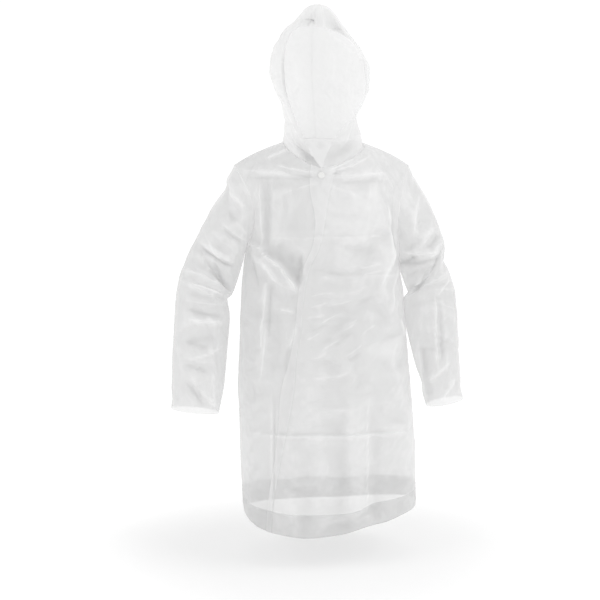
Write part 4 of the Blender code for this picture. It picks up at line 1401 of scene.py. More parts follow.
SLEEVE_FOLDS_RIGHT = (
    RoundFold(0.22, 0.20, 0.26, 0.15, 0.034, 0.0070),
    RoundFold(0.38, -0.26, 0.25, 0.15, 0.030, -0.0085),  # the crook of the elbow
    RoundFold(0.46, 0.10, 0.26, 0.15, 0.028, 0.0070),
    RoundFold(0.56, -0.12, 0.26, 0.15, 0.026, 0.0050),
    RoundFold(0.70, 0.14, 0.26, 0.15, 0.030, 0.0050),
    RoundFold(0.42, 0.10, 0.76, 0.15, 0.040, -0.0060),
    RoundFold(0.84, -0.20, 0.24, 0.15, 0.034, 0.0040),
    RoundFold(0.385, -0.24, 0.27, 0.16, 0.010, -0.0050, Bend.SHARP),
    RoundFold(0.300, -0.16, 0.30, 0.14, 0.012, 0.0036, Bend.SHARP),
    RoundFold(0.455, 0.12, 0.34, 0.16, 0.010, 0.0040, Bend.SHARP),
    RoundFold(0.500, 0.04, 0.22, 0.12, 0.009, -0.0030, Bend.SHARP),
    RoundFold(0.545, -0.14, 0.30, 0.16, 0.010, 0.0036, Bend.SHARP),
    RoundFold(0.610, 0.10, 0.24, 0.12, 0.010, 0.0026, Bend.SHARP),
    RoundFold(0.700, 0.30, 0.30, 0.14, 0.010, 0.0030, Bend.SHARP),
    RoundFold(0.420, 0.12, 0.74, 0.16, 0.012, -0.0036, Bend.SHARP),
    RoundFold(0.500, -0.10, 0.78, 0.16, 0.012, 0.0034, Bend.SHARP),
    RoundFold(0.620, 0.12, 0.70, 0.14, 0.012, 0.0030, Bend.SHARP),
)
SLEEVE_FOLDS_LEFT = (
    RoundFold(0.20, 0.18, 0.26, 0.15, 0.034, 0.0070),
    RoundFold(0.36, -0.22, 0.25, 0.15, 0.030, -0.0090),  # the crook of the elbow
    RoundFold(0.44, 0.12, 0.27, 0.15, 0.028, 0.0070),
    RoundFold(0.60, 0.30, 0.28, 0.15, 0.034, 0.0050),
    RoundFold(0.74, 0.34, 0.27, 0.15, 0.034, -0.0045),
    RoundFold(0.42, 0.10, 0.76, 0.15, 0.040, -0.0060),
    RoundFold(0.360, -0.20, 0.24, 0.16, 0.010, -0.0050, Bend.SHARP),
    RoundFold(0.310, 0.10, 0.36, 0.14, 0.012, 0.0034, Bend.SHARP),
    RoundFold(0.430, 0.14, 0.32, 0.16, 0.010, 0.0040, Bend.SHARP),
    RoundFold(0.520, 0.28, 0.38, 0.14, 0.010, 0.0034, Bend.SHARP),
    RoundFold(0.590, 0.36, 0.36, 0.14, 0.010, 0.0030, Bend.SHARP),
    RoundFold(0.720, 0.30, 0.30, 0.12, 0.010, -0.0030, Bend.SHARP),
    RoundFold(0.420, 0.10, 0.74, 0.16, 0.012, -0.0036, Bend.SHARP),
    RoundFold(0.520, -0.12, 0.76, 0.16, 0.012, 0.0034, Bend.SHARP),
)
SLEEVE_FRONT_RIGHT = (
    Crease(-0.266, -0.191, -0.206, -0.232, 0.007, 0.0022, 0.004),  # below the shoulder
    Crease(-0.262, -0.203, -0.215, -0.240, 0.006, -0.0030, bend=Bend.SOFT),
    Crease(-0.236, -0.177, -0.201, -0.222, 0.007, 0.0012),
    Crease(-0.317, -0.256, -0.237, -0.297, 0.007, -0.0075, 0.004),  # above the elbow
    Crease(-0.315, -0.246, -0.236, -0.287, 0.010, 0.0040, bend=Bend.SOFT),
    Crease(-0.289, -0.287, -0.252, -0.363, 0.012, -0.0060),
    Crease(-0.307, -0.301, -0.267, -0.322, 0.005, 0.0030),
    Crease(-0.287, -0.334, -0.257, -0.358, 0.005, 0.0030),
    Crease(-0.353, -0.346, -0.258, -0.375, 0.007, 0.0055),  # below the elbow
    Crease(-0.353, -0.412, -0.268, -0.434, 0.008, -0.0040),
    Crease(-0.349, -0.437, -0.268, -0.449, 0.006, 0.0045),
    Crease(-0.360, -0.490, -0.300, -0.506, 0.008, -0.0034, 0.003),
    Crease(-0.362, -0.534, -0.266, -0.507, 0.006, 0.0028, 0.005),
    Crease(-0.335, -0.540, -0.290, -0.548, 0.006, 0.0016, -0.003),
    Crease(-0.362, -0.550, -0.305, -0.569, 0.007, -0.0032, -0.003),
    Crease(-0.346, -0.574, -0.281, -0.663, 0.007, 0.0045, 0.004),
    Crease(-0.358, -0.589, -0.314, -0.655, 0.009, -0.0036),
    Crease(-0.293, -0.565, -0.291, -0.657, 0.006, 0.0025),
    Crease(-0.222, -0.072, -0.187, -0.167, 0.006, -0.0030),
    Crease(-0.250, -0.110, -0.205, -0.150, 0.008, 0.0030),
)
SLEEVE_BACK_RIGHT = (
    Crease(-0.272, -0.180, -0.212, -0.236, 0.007, 0.0035, -0.004),
    Crease(-0.250, -0.160, -0.210, -0.200, 0.007, -0.0028, bend=Bend.SOFT),
    Crease(-0.330, -0.270, -0.240, -0.300, 0.008, 0.0050, 0.005),  # slack behind the elbow
    Crease(-0.335, -0.298, -0.248, -0.330, 0.009, -0.0055, 0.004),
    Crease(-0.345, -0.330, -0.255, -0.352, 0.007, 0.0045),
    Crease(-0.350, -0.385, -0.262, -0.400, 0.008, -0.0040),
    Crease(-0.352, -0.440, -0.290, -0.470, 0.006, 0.0035),
    Crease(-0.355, -0.505, -0.280, -0.498, 0.008, -0.0035, bend=Bend.SOFT),
    Crease(-0.350, -0.560, -0.290, -0.640, 0.007, 0.0035, 0.003),
    Crease(-0.330, -0.600, -0.318, -0.655, 0.009, -0.0030, bend=Bend.SOFT),
)
SLEEVE_FRONT_LEFT = (
    Crease(0.265, -0.314, 0.242, -0.376, 0.010, -0.0055),  # inside the elbow
    Crease(0.223, -0.373, 0.276, -0.319, 0.007, 0.0040),
    Crease(0.194, -0.308, 0.233, -0.277, 0.012, -0.0070),
    Crease(0.201, -0.267, 0.296, -0.273, 0.006, 0.0035),
    Crease(0.296, -0.282, 0.206, -0.304, 0.007, -0.0030, bend=Bend.SOFT),
    Crease(0.292, -0.387, 0.294, -0.582, 0.005, 0.0035, 0.003),
    Crease(0.302, -0.395, 0.306, -0.560, 0.008, -0.0028, bend=Bend.SOFT),
    Crease(0.271, -0.606, 0.322, -0.560, 0.006, 0.0040),
    Crease(0.252, -0.508, 0.269, -0.659, 0.008, 0.0030, bend=Bend.STEP),
    Crease(0.330, -0.340, 0.300, -0.385, 0.006, 0.0030),
    Crease(0.215, -0.366, 0.250, -0.356, 0.008, -0.0060),
    Crease(0.187, -0.146, 0.192, -0.241, 0.006, -0.0040),
    Crease(0.250, -0.125, 0.225, -0.230, 0.007, 0.0030, 0.004),
    Crease(0.285, -0.205, 0.240, -0.250, 0.006, 0.0030),
    Crease(0.300, -0.225, 0.262, -0.262, 0.008, -0.0032, bend=Bend.SOFT),
    Crease(0.325, -0.440, 0.275, -0.475, 0.006, 0.0010),
    Crease(0.330, -0.500, 0.280, -0.520, 0.007, -0.0010, bend=Bend.SOFT),
    Crease(0.340, -0.600, 0.300, -0.655, 0.007, 0.0032),
)
SLEEVE_BACK_LEFT = (
    Crease(0.268, -0.170, 0.214, -0.240, 0.007, 0.0035, 0.004),
    Crease(0.300, -0.230, 0.235, -0.275, 0.008, -0.0040),
    Crease(0.318, -0.270, 0.232, -0.310, 0.008, 0.0050, -0.005),  # slack behind the elbow
    Crease(0.322, -0.312, 0.236, -0.345, 0.009, -0.0052),
    Crease(0.328, -0.352, 0.240, -0.375, 0.007, 0.0042),
    Crease(0.330, -0.410, 0.250, -0.425, 0.008, -0.0036),
    Crease(0.330, -0.450, 0.270, -0.500, 0.006, 0.0032, -0.003),
    Crease(0.335, -0.545, 0.265, -0.535, 0.008, -0.0030, bend=Bend.SOFT),
    Crease(0.335, -0.580, 0.285, -0.650, 0.007, 0.0034),
)
HOOD_FOLDS_RIGHT = (
    RoundFold(0.10, 0.10, 0.20, 0.20, 0.020, 0.0040),
    RoundFold(0.20, -0.16, 0.26, 0.16, 0.016, -0.0040, Bend.SHARP),
    RoundFold(0.33, 0.20, 0.16, 0.14, 0.014, 0.0036, Bend.SHARP),
    RoundFold(0.46, -0.14, 0.20, 0.14, 0.014, -0.0034, Bend.SHARP),
    RoundFold(0.58, 0.18, 0.24, 0.16, 0.014, 0.0034, Bend.SHARP),
    RoundFold(0.70, 0.40, 0.40, 0.20, 0.014, 0.0034, Bend.SHARP),
    RoundFold(0.84, -0.30, 0.36, 0.24, 0.012, -0.0030, Bend.SHARP),
    RoundFold(0.93, 0.20, 0.50, 0.30, 0.010, 0.0026, Bend.SHARP),
    RoundFold(0.40, 0.10, 0.74, 0.16, 0.030, 0.0030),
    RoundFold(0.62, -0.20, 0.72, 0.16, 0.022, 0.0018),
    RoundFold(0.28, 0.10, 0.46, 0.14, 0.030, -0.0035),
    RoundFold(0.44, -0.10, 0.48, 0.14, 0.030, 0.0030),
    RoundFold(0.66, 0.12, 0.46, 0.14, 0.026, -0.0026),
)
HOOD_FOLDS_LEFT = (
    RoundFold(0.12, -0.10, 0.22, 0.20, 0.020, 0.0040),
    RoundFold(0.24, 0.18, 0.22, 0.16, 0.014, -0.0036, Bend.SHARP),
    RoundFold(0.40, -0.20, 0.18, 0.14, 0.014, 0.0036, Bend.SHARP),
    RoundFold(0.54, 0.16, 0.24, 0.14, 0.014, -0.0034, Bend.SHARP),
    RoundFold(0.68, -0.30, 0.30, 0.18, 0.014, 0.0034, Bend.SHARP),
    RoundFold(0.82, 0.36, 0.40, 0.22, 0.012, 0.0030, Bend.SHARP),
    RoundFold(0.94, -0.16, 0.46, 0.30, 0.010, -0.0026, Bend.SHARP),
    RoundFold(0.34, 0.14, 0.76, 0.16, 0.030, 0.0030),
    RoundFold(0.58, 0.22, 0.72, 0.16, 0.022, -0.0018),
    RoundFold(0.34, -0.12, 0.46, 0.14, 0.032, -0.0032),
    RoundFold(0.52, 0.10, 0.48, 0.14, 0.028, 0.0028),
    RoundFold(0.72, -0.10, 0.46, 0.14, 0.026, -0.0024),
)
# Dents and creases of the hood whose tone is painted: shade in the hollows, beside the throat and over the
# crown, and highlight on the ridges.
HOOD_MARKS_RIGHT = (
    RoundFold(0.055, 0.10, 0.050, 0.100, 0.055, -0.0120),  # dent beside the throat, greyed with painted shade
    RoundFold(0.130, 0.90, 0.170, 0.045, 0.007, 0.0036, Bend.SHARP),
    RoundFold(0.200, 0.60, 0.110, 0.060, 0.008, 0.0030, Bend.SHARP),
    RoundFold(0.460, 0.10, 0.030, 0.030, 0.160, -0.0048),
    RoundFold(0.300, 0.40, 0.860, 0.050, 0.014, -0.0014, Bend.SHARP),
    RoundFold(0.900, 0.30, 0.360, 0.120, 0.010, -0.0034, Bend.SHARP),
    RoundFold(0.955, -0.20, 0.500, 0.160, 0.012, -0.0030, Bend.SHARP),
    RoundFold(0.950, 0.00, 0.560, 0.400, 0.060, -0.0032),
)
HOOD_MARKS_LEFT = (
    RoundFold(0.065, 0.00, 0.110, 0.140, 0.060, -0.0048),
    RoundFold(0.150, 0.80, 0.150, 0.050, 0.008, 0.0020, Bend.SHARP),
    RoundFold(0.520, -0.20, 0.030, 0.028, 0.100, -0.0034),
    RoundFold(0.280, 0.50, 0.880, 0.050, 0.014, -0.0014, Bend.SHARP),
    RoundFold(0.910, -0.30, 0.380, 0.120, 0.010, -0.0034, Bend.SHARP),
    RoundFold(0.960, 0.20, 0.520, 0.160, 0.012, -0.0030, Bend.SHARP),
    RoundFold(0.950, 0.00, 0.560, 0.400, 0.060, -0.0048),
)


# ---------------------------------------------------------------- seams and snap


class Seam(NamedTuple):
    """Where two films meet: its points, the points beside it in each film, and outward normals."""

    line: Array
    first: Array
    second: Array
    outwards: Array


@dataclass(frozen=True)
class Weld:
    """A welded seam: a narrow raised band along two films, with a soft edge on both sides.

    `outline` gives each line's place across, in half widths, and its height as a share of the rise.
    """

    half_width: float = 0.0022
    rise: float = 0.0003
    clear: float = 0.00015
    outline: tuple = ((1.0, 0.0), (0.65, 0.9), (0.0, 1.0), (-0.65, 0.9), (-1.0, 0.0))

    def band(self, seam: Seam) -> Array:
        """Points of the band: seam + way * share * half width + outwards * lift, on five lines.

        Args:
            seam: the seam.

        Returns:
            A grid with one row for each point of the seam.
        """
        to_first, to_second = unit(seam.first - seam.line), unit(seam.second - seam.line)
        lines = []
        for share, height in self.outline:
            way = to_first if share > 0 else to_second
            lift = self.clear + height * self.rise
            lines.append(seam.line + way * abs(share) * self.half_width + seam.outwards * lift)
        return np.stack(lines, axis=1)


@dataclass(frozen=True)
class SnapHalf:
    """Half of the one press stud at the neck: an outline turned about its axis.

    `outline` runs from the middle of its face to its base, in shares of the radius and the height.
    """

    node: str
    radius: float
    height: float
    outline: tuple
    steps: int = 48
    sharp_angle: float = 50.0

    def build(self, place: Array, outward: Array) -> bpy.types.Object:
        """Turns the outline about the axis: place + radius * spoke + height * outward.

        Args:
            place: the middle of its base.
            outward: the direction of its face.

        Returns:
            The object, in the scene, at the origin.
        """
        profile = np.array(self.outline) * (self.radius, self.height)
        turn = np.arange(self.steps) / self.steps * 2 * math.pi
        side = unit(np.cross(outward, (0.0, 0.0, 1.0)))
        over = np.cross(outward, side)
        spoke = np.cos(turn)[:, None] * side + np.sin(turn)[:, None] * over
        inner = profile[1:-1]
        rings = place + inner[:, :1, None] * spoke[None] + inner[:, 1:, None] * outward
        poles = place + profile[[0, -1], 1:] * outward
        points = np.concatenate([rings.reshape(-1, 3), poles])
        quads = grid_faces(len(inner), self.steps, True)
        number = np.arange(self.steps)
        following = (number + 1) % self.steps
        last = (len(inner) - 1) * self.steps
        top = np.stack([following, number, np.full(self.steps, len(points) - 2)], axis=-1)
        base = np.stack([last + number, last + following, np.full(self.steps, len(points) - 1)], axis=-1)
        mesh = bpy.data.meshes.new(self.node + "_half")
        mesh.from_pydata(points.tolist(), [], [*quads.tolist(), *top.tolist(), *base.tolist()])
        mesh.shade_smooth()
        mesh.set_sharp_from_angle(angle=math.radians(self.sharp_angle))
        half = bpy.data.objects.new(self.node + "_half", mesh)
        bpy.context.scene.collection.objects.link(half)
        return half


SNAP_HALVES = (
    SnapHalf("snap_cap", 0.0080, 0.0024, (
        (0.00, 0.90), (0.30, 0.91), (0.52, 0.94), (0.62, 1.00), (0.74, 1.00), (0.86, 0.90),
        (0.94, 0.74), (0.99, 0.52), (1.00, 0.34), (0.97, 0.10), (0.93, 0.00), (0.00, 0.00),
    )),
    SnapHalf("snap_socket", 0.0065, 0.0020, (
        (0.00, 0.40), (0.34, 0.42), (0.42, 0.60), (0.50, 0.96), (0.60, 1.00), (0.90, 1.00),
        (0.98, 0.92), (1.00, 0.78), (1.00, 0.35), (0.94, 0.12), (0.82, 0.00), (0.00, 0.00),
    )),
)


@dataclass(frozen=True)
class SnapFinish:
    """Moulded plastic of the snap: nearly white, slightly glossy, with faint unevenness."""

    colour: tuple = (0.70, 0.70, 0.69)
    roughness: float = 0.32
    grain_scale: float = 900.0
    grain_strength: float = 0.10
    grain_depth: float = 0.0002

    def build(self, name: str) -> bpy.types.Material:
        """Makes the material.

        Args:
            name: the material's name.

        Returns:
            The material.
        """
        material = bpy.data.materials.new(name)
        material.use_nodes = True
        tree = material.node_tree
        place = add_node(tree, "ShaderNodeTexCoord").outputs["Object"]
        grain = add_node(tree, "ShaderNodeTexNoise", {"Vector": place, "Scale": self.grain_scale})
        bump = add_node(tree, "ShaderNodeBump", {
            "Strength": self.grain_strength,
            "Distance": self.grain_depth,
            "Height": grain.outputs["Fac"],
        })
        feed(tree.nodes["Principled BSDF"], {
            "Base Color": (*self.colour, 1), "Roughness": self.roughness, "Normal": bump.outputs[0],
        })
        return material


# ---------------------------------------------------------------- coat


@dataclass
class Coat:
    """The whole coat: body panels, sleeves, hood, their welds and the snap."""

    body: BodyPanels = field(default_factory=BodyPanels)
    hood: Hood = field(default_factory=Hood)
    crumple: Crumple = field(default_factory=lambda: Crumple(seed=11))
    slack: Slack = field(default_factory=Slack)
    turn_up_gap: float = 0.0009
    turn_up_closed: float = 0.7
    turn_up_power: int = 6
    turn_at: float = 0.1
    weld_creased: float = 0.1
    narrow_weld: float = 0.0016
    hem_weld_rise: float = 0.0004
    crumple_shift: tuple = (3.1, 1.7)
    crumple_calm: float = 0.012
    tube_calm: float = 0.05
    edge_calm: float = 0.060
    side_calm: float = 0.14
    lap_calm: float = 0.10
    firmer: dict = field(default_factory=lambda: {
        "hood_right": 0.60, "hood_left": 0.60, "front_right": 0.40,
    })
    # Whole panels painted lighter or greyer: painted light on the hood halves, painted shade on the under
    # front and the back.
    painted_light_and_shade: dict = field(default_factory=lambda: {
        "hood_right": 0.30, "hood_left": 0.30, "front_right": -0.30, "back": -0.15,
    })
    snap_x: float = -0.025
    snap_z: float = -0.072
    snap_near: float = 0.012
    panels: dict = field(default_factory=dict)

    def cut(self) -> None:
        """Makes every panel in its worn shape, with its creases."""
        under, upper, back = self.body.build(FRONT_FOLDS, BACK_FOLDS, FRONT_CREASES, BACK_CREASES)
        # The fronts get their patches of painted light and painted shade.
        for panel in (under, upper):
            panel.marks = panel.marks + patch_light_and_shade(panel.points, FRONT_LIGHT_AND_SHADE)
        shape = self.body.shape
        climbs = np.linspace(0, 1, self.body.yoke_rows + 1)
        sleeves = []
        for side, *tables in (
            (Side.RIGHT, SLEEVE_RIGHT, SLEEVE_FOLDS_RIGHT, SLEEVE_FRONT_RIGHT, SLEEVE_BACK_RIGHT),
            (Side.LEFT, SLEEVE_LEFT, SLEEVE_FOLDS_LEFT, SLEEVE_FRONT_LEFT, SLEEVE_BACK_LEFT),
        ):
            front = shape.armhole(side.value, climbs, Face.FRONT)
            behind = shape.armhole(side.value, climbs[::-1], Face.BACK)
            edge = np.concatenate([front, behind[1:-1]])
            sleeves.append(SleeveTube(side, *tables).build(edge))
        corner = self.body.lap_columns + self.body.neck_columns_front
        start = self.body.lap_columns // 2
        halves = []
        for side, front, *tables in (
            (Side.RIGHT, under, HOOD_FOLDS_RIGHT, HOOD_MARKS_RIGHT),
            (Side.LEFT, upper, HOOD_FOLDS_LEFT, HOOD_MARKS_LEFT),
        ):
            neckline = np.concatenate([front.points[-1, start:corner], self.nape(back, side)])
            halves.append(self.hood.build(side, neckline, corner - start, *tables))
        for number, panel in enumerate([under, upper, back, *sleeves, *halves]):
            self.add_crumple(panel, number)
            # Each whole panel's painted light and shade.
            panel.marks = panel.marks + self.painted_light_and_shade.get(panel.node, 0.0)
            self.panels[panel.node] = panel

    def nape(self, back: Panel, side: Side, row: int = -1) -> Array:
        """The back's part of the neckline, or of the row below it, from the neck's side to the nape."""
        middle = back.points.shape[1] // 2
        count = self.body.neck_columns_back
        if side is Side.RIGHT:
            return back.points[row, middle - count : middle + 1]
        return back.points[row, middle : middle + count + 1][::-1]

    def add_crumple(self, panel: Panel, number: int) -> None:
        """Adds the fine folds from the pack, fading out at the panel's edges."""
        across, up = run_lengths(panel.points, 1), run_lengths(panel.points, 0)
        shift_across, shift_up = self.crumple_shift
        height = self.crumple.height(across + shift_across * number, up + shift_up * number)
        reach = self.crumple_calm
        beside = self.tube_calm if panel.wrap else reach
        panel.lift(height * edge_fade(panel.points, beside, beside, reach, reach))

    def turned_up(self, panel: Panel, creased: Array) -> tuple[Array, Array]:
        """A body panel's grid and its creasing, with the hem folded inwards and up to the weld.

        Args:
            panel: the panel.
            creased: its creasing.

        Returns:
            Both with the folded rows put first. The gap between the layers closes towards the weld
            as 1 - closed * share^power.
        """
        rows, gap = self.body.hem_rows, self.turn_up_gap
        share = np.arange(rows, 0, -1) / rows
        gaps = gap * (1 - self.turn_up_closed * share**self.turn_up_power)
        inner = panel.points[rows:0:-1] - panel.normals[rows:0:-1] * gaps[:, None, None]
        edge = panel.points[:1] * (1 - self.turn_at) + panel.points[1:2] * self.turn_at
        points = np.concatenate([inner, edge - panel.normals[:1] * gap, panel.points])
        return points, np.concatenate([creased[rows:0:-1], creased[:1], creased])

    def settle(self) -> None:
        """Lets the joined panels buckle; seams, rims and the lap are held more firmly."""
        order = list(self.panels.values())
        self.slack.settle(order, [self.holds(panel) for panel in order])

    def holds(self, panel: Panel) -> Array:
        """How firmly each point of a panel keeps its place: firmly at its edges, loosely inside."""
        reach = self.edge_calm
        beside = self.side_calm if panel.node in BODY_NODES else reach
        first = beside if panel.node == "back" else reach
        if panel.wrap:
            first = beside = 0.0
        base = self.firmer.get(panel.node, self.slack.hold)
        hold = 1 - (1 - base) * edge_fade(panel.points, first, beside, reach, reach)
        if panel.node in ("front_left", "front_right"):
            lap, across = self.body.lap_columns, run_lengths(panel.points, 1)
            width = across - across[:, lap : lap + 1]
            hold = np.maximum(hold, 1 - (1 - base) * ease(width / self.lap_calm))
        return hold

    def dress(self) -> None:
        """Makes the meshes, the welds and the snap, and hides the imported parts they replace."""
        film = FilmFinish().build("milky_film")
        weld_film = FilmFinish(brightness=0.90, cloudiness=0.36).build("welded_film")
        for node, panel in self.panels.items():
            grid, creased = panel.points, panel.creased()
            if node in BODY_NODES:
                grid, creased = self.turned_up(panel, creased)
            piece = film_mesh(panel.name, grid, panel.wrap, panel.outward, creased)
            piece.data.materials.append(film)
            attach(piece, BODY)
            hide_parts(node)
            panel.piece = piece
            panel.cut_size = cut_size(grid, panel.wrap)
        welds = self.weld_seams(weld_film)
        self.add_snap()

    def side_seams(self, side: Side) -> dict:
        """The seams of one side of the coat.

        Args:
            side: the wearer's side.

        Returns:
            For each weld's name, the panel that it goes with and its seam.
        """
        panels, body, back = self.panels, self.body, self.panels["back"]
        tag = side.name.lower()
        front, sleeve, hood = (panels[f"{kind}_{tag}"] for kind in ("front", "sleeve", "hood"))
        start, corner = body.lap_columns // 2, body.lap_columns + body.neck_columns_front
        under_arm = body.hem_rows + body.skirt_rows
        skirt = slice(under_arm + 1)
        middle, neck = back.points.shape[1] // 2, body.neck_columns_back
        if side is Side.RIGHT:
            beside, shoulder = 1, slice(middle - neck, None, -1)
        else:
            beside, shoulder = -2, slice(middle + neck, None)
        round_arm = [front.points[under_arm:, -2], back.points[-2:under_arm:-1, beside]]
        round_neck = [front.points[-2, start:corner], self.nape(back, side, -2)]
        return {
            "shoulder_weld": (front, Seam(
                front.points[-1, corner:],
                front.points[-2, corner:],
                back.points[-2, shoulder],
                front.normals[-2, corner:],
            )),
            "side_weld": (front, Seam(
                front.points[skirt, -1],
                front.points[skirt, -2],
                back.points[skirt, beside],
                front.normals[skirt, -2],
            )),
            "underarm_weld": (sleeve, Seam(
                sleeve.points[:, 0], sleeve.points[:, 1], sleeve.points[:, -1], sleeve.normals[:, 0]
            )),
            "armhole_weld": (sleeve, Seam(
                sleeve.points[0], sleeve.points[1], np.concatenate(round_arm), sleeve.normals[1]
            )),
            "neck_weld": (hood, Seam(
                hood.points[0], hood.points[1], np.concatenate(round_neck), hood.normals[1]
            )),
        }

    def weld_seams(self, film: bpy.types.Material) -> dict:
        """Makes the welds along all seams.

        Args:
            film: their material.

        Returns:
            For each node, the welds that go with its panel.
        """
        panels = self.panels
        found = {node: [] for node in panels}
        for side in Side:
            for kind, (owner, seam) in self.side_seams(side).items():
                name, closed = f"{kind}_{side.name.lower()}", kind == "armhole_weld"
                found[owner.node].append(self.weld_piece(name, Weld().band(seam), closed, film))
        right, left = panels["hood_right"], panels["hood_left"]
        outwards = unit(right.normals[:, -2] + left.normals[:, -2])
        crown = Seam(right.points[:, -1], right.points[:, -2], left.points[:, -2], outwards)
        grid = Weld(self.narrow_weld).band(crown)
        found["hood_right"].append(self.weld_piece("crown_weld", grid, False, film))
        row = self.body.hem_rows
        for node in BODY_NODES:
            points = panels[node].points
            hem = Seam(points[row], points[row + 1], points[row - 1], panels[node].normals[row])
            grid = Weld(self.narrow_weld, self.hem_weld_rise).band(hem)
            found[node].append(self.weld_piece(f"hem_weld_{node}", grid, False, film))
        return found

    def weld_piece(self, name: str, grid: Array, closed: bool, film: bpy.types.Material) -> bpy.types.Object:
        """Makes one weld's mesh.

        Args:
            name: the weld's name.
            grid: its points, one row for each point of the seam.
            closed: whether the seam runs all round.
            film: its material.

        Returns:
            The object, which rides on the body.
        """
        grid = grid.swapaxes(0, 1)
        upwards = grid[2] - grid[0] + grid[2] - grid[4]
        facing = np.sum(grid_normals(grid, closed)[2] * upwards, axis=-1)
        outward = 1 if facing.sum() > 0 else -1
        piece = film_mesh(name, grid, closed, outward, np.full(grid.shape[:2], self.weld_creased))
        piece.data.materials.append(film)
        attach(piece, BODY)
        LOG.info("%s: %d points", name, grid[..., 0].size)
        return piece

    def add_snap(self) -> None:
        """Clamps the snap's halves on both sides of the lap."""
        finish = SnapFinish().build("snap_plastic")
        outward = self.snap_axis()
        for half in SNAP_HALVES:
            low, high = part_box(half.node)
            middle = (np.array(low) + np.array(high)) / 2
            piece = half.build(middle - outward * half.height / 2, outward)
            piece.data.materials.append(finish)
            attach(piece, BODY)
            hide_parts(half.node)
            LOG.info("%s stands for %s", piece.name, half.node)

    def snap_axis(self) -> Array:
        """Outward direction of the upper front at the snap."""
        upper = self.panels["front_left"]
        away = np.hypot(upper.points[..., 0] - self.snap_x, upper.points[..., 2] - self.snap_z)
        return unit(upper.normals[away < self.snap_near].mean(axis=0))


def cut_size(grid: Array, wrap: bool) -> tuple:
    """Width, length and area of the flat cut of a panel, from its worn grid.

    The width is the longest row, the length the longest column and the area the sum of the quads'
    halves, each half a cross product.
    """
    around = np.concatenate([grid, grid[:, :1]], axis=1) if wrap else grid
    width = run_lengths(around, 1)[:, -1].max()
    length = run_lengths(around, 0)[-1].max()
    first = np.cross(around[:-1, 1:] - around[:-1, :-1], around[1:, :-1] - around[:-1, :-1])
    second = np.cross(around[:-1, 1:] - around[1:, 1:], around[1:, :-1] - around[1:, 1:])
    area = (np.linalg.norm(first, axis=-1).sum() + np.linalg.norm(second, axis=-1).sum()) / 2
    return float(width), float(length), float(min(area, width * length))


# ---------------------------------------------------------------- studio


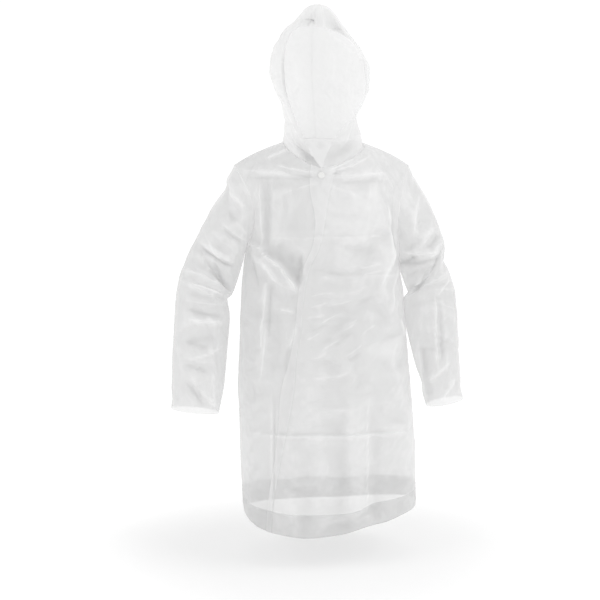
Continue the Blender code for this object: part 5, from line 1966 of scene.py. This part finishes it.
@dataclass
class Studio:
    """Plain pale floor, soft lights and the camera."""

    floor_height: float = -1.070
    floor_radius: float = 14.0
    camera_place: tuple = (-0.48495, -3.06183, -0.057)
    camera_turn: tuple = (83.7775, 0.0, -9.0)
    lens: float = 71.54
    shift: float = -0.0375
    seen_strength: float = 1.05
    mirror_strength: float = 1.05
    light_strength: float = 0.80
    near_glow: float = 0.125
    far_glow: float = 0.42
    pool: tuple = (0.30, 1.10)
    floor_steps: int = 96
    floor_colour: tuple = (0.78, 0.78, 0.78, 1.0)
    floor_roughness: float = 0.9
    sensor: float = 36.0
    clear_bounces: int = 32
    diffuse_bounces: int = 8
    aim: tuple = (0.0, 0.0, -0.35)
    lights: tuple = (
        ("key", (2.8, -1.5, 1.5), 2.8, 45.0),
        ("fill", (-2.8, -1.2, 0.9), 2.2, 22.0),
        ("top", (0.2, 0.2, 2.6), 2.4, 14.0),
    )

    def build(self) -> None:
        """Sets up the floor, the surroundings, the lights and the camera."""
        self.add_floor()
        self.add_world()
        for light in self.lights:
            self.add_light(*light)
        self.add_camera()
        scene = bpy.context.scene
        scene.view_settings.view_transform = "Standard"
        scene.cycles.transparent_max_bounces = self.clear_bounces
        scene.cycles.diffuse_bounces = self.diffuse_bounces

    def add_floor(self) -> None:
        """A round pale floor."""
        turn = np.linspace(0, 2 * math.pi, self.floor_steps, endpoint=False)
        rim = np.stack([np.cos(turn), np.sin(turn), np.zeros_like(turn)], axis=-1) * self.floor_radius
        mesh = bpy.data.meshes.new("floor")
        mesh.from_pydata((rim + (0, 0, self.floor_height)).tolist(), [], [list(range(len(turn)))])
        floor = bpy.data.objects.new("floor", mesh)
        bpy.context.scene.collection.objects.link(floor)
        material = bpy.data.materials.new("pale_floor")
        material.use_nodes = True
        tree = material.node_tree
        place = add_node(tree, "ShaderNodeTexCoord").outputs["Object"]
        foot = (0.0, 0.0, self.floor_height)
        away = add_node(tree, "ShaderNodeVectorMath", {0: place, 1: foot}, operation="DISTANCE")
        glow = add_node(tree, "ShaderNodeMapRange", {
            "Value": away.outputs["Value"],
            "From Min": self.pool[0],
            "From Max": self.pool[1],
            "To Min": self.near_glow,
            "To Max": self.far_glow,
        }, interpolation_type="SMOOTHSTEP")
        feed(tree.nodes["Principled BSDF"], {
            "Base Color": self.floor_colour,
            "Roughness": self.floor_roughness,
            "Specular IOR Level": 0.0,
            "Emission Color": (1, 1, 1, 1),
            "Emission Strength": glow.outputs[0],
        })
        mesh.materials.append(material)

    def add_world(self) -> None:
        """White to the camera and in reflections, and a softer grey light on the coat."""
        world = bpy.data.worlds.new("studio")
        world.use_nodes = True
        tree = world.node_tree
        tree.nodes.clear()
        path = add_node(tree, "ShaderNodeLightPath")
        strength = self.light_strength
        for ray, value in (("Is Glossy Ray", self.mirror_strength), ("Is Camera Ray", self.seen_strength)):
            inputs = {0: path.outputs[ray], 2: strength, 3: value}
            strength = add_node(tree, "ShaderNodeMix", inputs).outputs[0]
        white = add_node(tree, "ShaderNodeBackground", {"Color": (1, 1, 1, 1), "Strength": strength})
        add_node(tree, "ShaderNodeOutputWorld", {"Surface": white.outputs[0]})
        bpy.context.scene.world = world

    def add_light(self, name: str, place: tuple, size: float, power: float) -> None:
        """A square soft light that faces the coat's middle."""
        data = bpy.data.lights.new(name, "AREA")
        data.size = size
        data.energy = power
        light = bpy.data.objects.new(name, data)
        light.location = place
        aim = Vector(self.aim) - Vector(place)
        light.rotation_euler = aim.to_track_quat("-Z", "Y").to_euler()
        bpy.context.scene.collection.objects.link(light)

    def add_camera(self) -> None:
        """The camera, slightly to the wearer's right and a little above the chest."""
        data = bpy.data.cameras.new("camera")
        data.lens = self.lens
        data.sensor_width = self.sensor
        data.shift_x = self.shift
        camera = bpy.data.objects.new("camera", data)
        camera.location = self.camera_place
        camera.rotation_euler = tuple(math.radians(angle) for angle in self.camera_turn)
        bpy.context.scene.collection.objects.link(camera)
        bpy.context.scene.camera = camera


def main() -> None:
    """Builds the coat and its studio."""
    logging.basicConfig(level=logging.INFO, format="%(name)s: %(message)s")
    coat = Coat()
    coat.cut()
    coat.settle()
    coat.dress()
    Studio().build()


if __name__ == "__main__":
    main()
